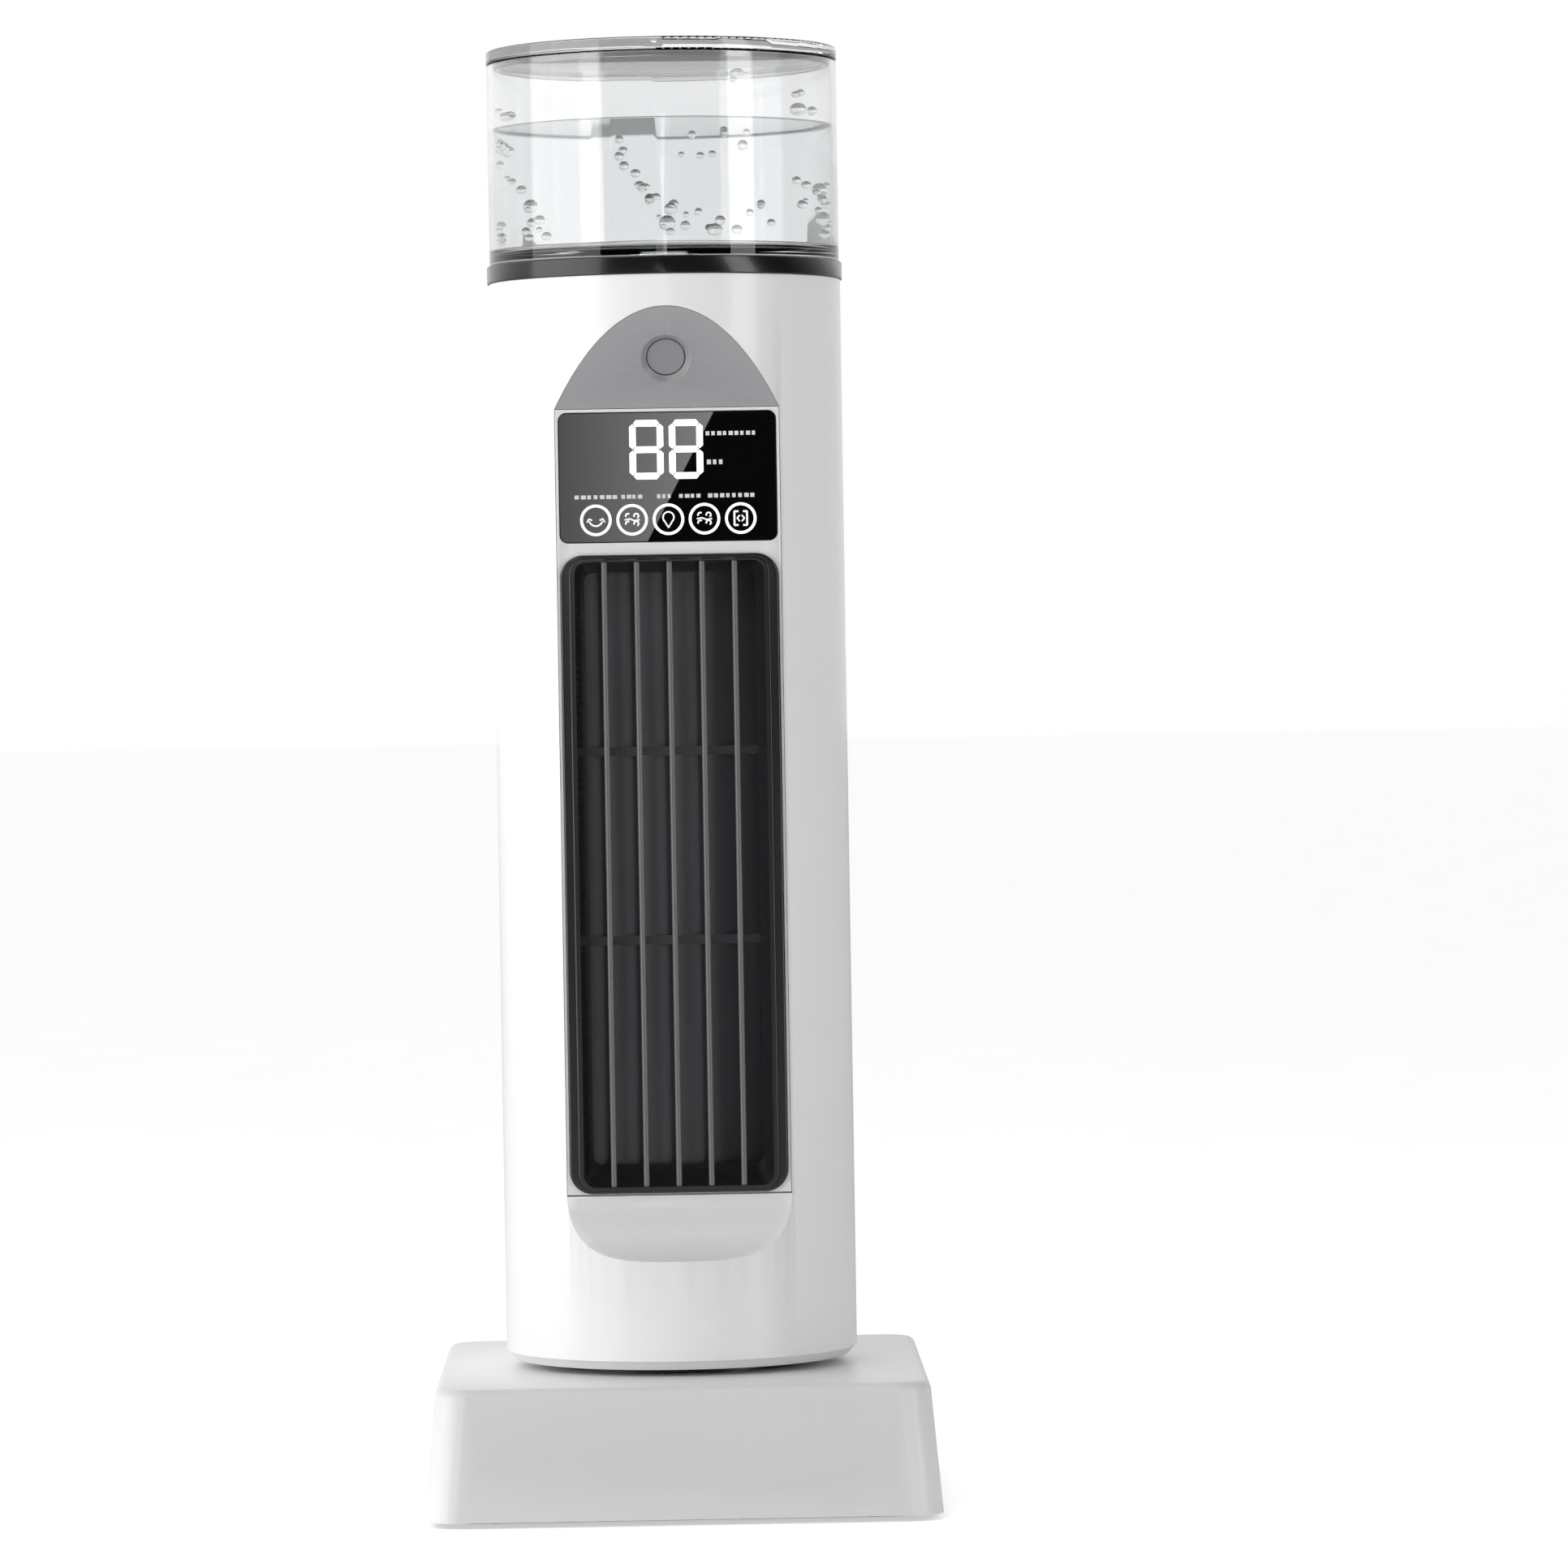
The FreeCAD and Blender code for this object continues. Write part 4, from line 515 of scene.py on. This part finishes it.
def bubble_cloud(name, count, low, high, seed):
    pick = random.Random(seed)
    bpy.ops.mesh.primitive_uv_sphere_add(segments=20, ring_count=12, radius=1)
    ball = bpy.context.object
    base = [v.co.copy() for v in ball.data.vertices]
    sides = [tuple(p.vertices) for p in ball.data.polygons]
    bpy.data.objects.remove(ball)
    points, faces = [], []
    for number in range(count):
        if number % 4 == 0:
            group_turn, group_z = math.radians(pick.uniform(-190, 10)), pick.uniform(low, high)
        r = pick.uniform(0.9, 2.0) * MM * (1.5 if pick.random() > 0.8 else 1.0)
        turn = group_turn + pick.uniform(-0.11, 0.11)
        z = min(max(group_z + pick.uniform(-5, 5) * MM, low), high)
        reach = water_r - r * 1.25 - 0.0003
        spot = Vector((reach * math.cos(turn), reach * math.sin(turn), z))
        first = len(points)
        flat = pick.uniform(0.75, 1.0)
        points += [spot + Vector((v.x, v.y, v.z * flat)) * r for v in base]
        faces += [tuple(first + i for i in side) for side in sides]
    mesh = bpy.data.meshes.new(name)
    mesh.from_pydata(points, [], faces)
    mesh.materials.append(bubble_look)
    mesh.polygons.foreach_set("use_smooth", [True] * len(mesh.polygons))
    made = bpy.data.objects.new(name, mesh)
    scene.collection.objects.link(made)
    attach(made, "tank")
    return made


bubble_cloud("bubbles_under_water", 80, floor_top + 6 * MM, water_top - 5 * MM, 11)
bubble_cloud("drops_above_water", 12, water_top + 4 * MM, water_top + 16 * MM, 5)
print("bubbles: 80 under water, 12 above")

# %% [markdown]
# ## Floor, light and room
# A pale floor runs off in every direction.  A bright room stands behind the object and
# a darker one in front of it, so that black gloss stays black.

# %% floor and room
bpy.ops.mesh.primitive_plane_add(size=60)
floor = bpy.context.object
floor.name = "studio_floor"
floor_look = material("floor paint", (0.90, 0.90, 0.90), (0.92, 0.92, 0.92), 0.6, bump=0.01)
floor_shader = floor_look.node_tree.nodes["Principled BSDF"]
floor_shader.inputs["Emission Color"].default_value = (1, 1, 1, 1)
floor_nodes = floor_look.node_tree.nodes
paths, lift = floor_nodes.new("ShaderNodeLightPath"), floor_nodes.new("ShaderNodeMapRange")
lift.inputs["To Max"].default_value = 0.55
floor_look.node_tree.links.new(paths.outputs["Is Camera Ray"], lift.inputs["Value"])
floor_look.node_tree.links.new(lift.outputs["Result"], floor_shader.inputs["Emission Strength"])
floor.data.materials.append(floor_look)

world = bpy.data.worlds.new("room")
scene.world = world
world.use_nodes = True
room = world.node_tree
back = room.nodes["Background"]
back.inputs["Color"].default_value = (1, 1, 1, 1)
where, split, ramp, mix, rays = (room.nodes.new(k) for k in ("ShaderNodeTexCoord",
        "ShaderNodeVectorMath", "ShaderNodeMapRange", "ShaderNodeMix", "ShaderNodeLightPath"))
split.operation = "DOT_PRODUCT"
split.inputs[1].default_value = (-0.30, 0.80, 0.0)
ramp.inputs["From Min"].default_value = -0.30
ramp.inputs["From Max"].default_value = 0.80
ramp.inputs["To Min"].default_value = 0.03
ramp.inputs["To Max"].default_value = 1.05
mix.inputs["B"].default_value = 1.0
room.links.new(where.outputs["Generated"], split.inputs[0])
room.links.new(split.outputs["Value"], ramp.inputs["Value"])
room.links.new(ramp.outputs["Result"], mix.inputs["A"])
room.links.new(rays.outputs["Is Camera Ray"], mix.inputs["Factor"])
room.links.new(mix.outputs["Result"], back.inputs["Strength"])


def soft_light(name, turn, distance, height, wide, tall, power):
    """A large rectangular lamp, turned to face the column."""
    lamp = bpy.data.lights.new(name, "AREA")
    lamp.shape, lamp.size, lamp.size_y, lamp.energy = "RECTANGLE", wide, tall, power
    made = bpy.data.objects.new(name, lamp)
    a = math.radians(turn)
    made.location = (distance * math.sin(a), -distance * math.cos(a), height)
    aim = Vector((0, 0, 0.27)) - made.location
    made.rotation_euler = aim.to_track_quat("-Z", "Y").to_euler()
    made.visible_camera = False
    scene.collection.objects.link(made)
    return made


soft_light("key_left", -58, 1.5, 0.50, 0.9, 1.5, 10)
soft_light("edge_left", -84, 1.2, 0.35, 0.42, 1.5, 4)
soft_light("edge_right", 52, 1.3, 0.35, 0.40, 1.5, 6.5)
soft_light("top_front", -25, 1.8, 1.9, 1.2, 0.8, 11)
print("lamps: 4")

# %% [markdown]
# ## A card for the lens to mirror
# The flat lens mirrors what stands straight in front of it.  A card with a slanted side
# gives it the bright area that stops at a diagonal line.

# %% reflection card
card_y = -3.2
card = bpy.data.meshes.new("card")
card.from_pydata([(-0.30, card_y, 0.402), (-0.021, card_y, 0.402), (0.110, card_y, 0.650),
        (-0.30, card_y, 0.650)], [], [(0, 1, 2, 3)])
card_object = bpy.data.objects.new("reflection_card", card)
scene.collection.objects.link(card_object)
card_look = bpy.data.materials.new("card light")
card_look.use_nodes = True
tree = card_look.node_tree
shine, spot, parts, fade = (tree.nodes.new(k) for k in ("ShaderNodeEmission", "ShaderNodeTexCoord",
        "ShaderNodeSeparateXYZ", "ShaderNodeMapRange"))
fade.inputs["From Min"].default_value = -0.10
fade.inputs["From Max"].default_value = 0.04
fade.inputs["To Min"].default_value = 1.6
fade.inputs["To Max"].default_value = 5.0
tree.links.new(spot.outputs["Object"], parts.inputs[0])
tree.links.new(parts.outputs["X"], fade.inputs["Value"])
tree.links.new(fade.outputs["Result"], shine.inputs["Strength"])
tree.links.new(shine.outputs[0], tree.nodes["Material Output"].inputs["Surface"])
card.materials.append(card_look)
card_object.visible_camera = False
print("card corners:", len(card.vertices))

# %% [markdown]
# ## The camera
# A long lens from 2.7 m keeps the column's sides nearly parallel.  The camera tips by
# under a degree, which makes the tower lean a little in the frame.

# %% camera
lens = bpy.data.cameras.new("view")
lens.lens, lens.sensor_width = 167.7, 36.0
camera = bpy.data.objects.new("view", lens)
yaw, pitch, roll = math.radians(0.872), math.radians(0.88), math.radians(0.93)
forward = Vector((math.sin(yaw) * math.cos(pitch), math.cos(yaw) * math.cos(pitch), -math.sin(pitch)))
right = forward.cross(Vector((0, 0, 1))).normalized()
up = right.cross(forward)
tilted_up = up * math.cos(roll) + right * math.sin(roll)
tilted_right = right * math.cos(roll) - up * math.sin(roll)
turn = Matrix((tilted_right, tilted_up, -forward)).transposed().to_4x4()
camera.matrix_world = Matrix.Translation((0, -2.708, 0.3046)) @ turn
scene.collection.objects.link(camera)
scene.camera = camera
print("camera at", tuple(round(c, 3) for c in camera.location))

# %% [markdown]
# ## Finish
# The view layer is brought up to date.

# %% finish
bpy.context.view_layer.update()
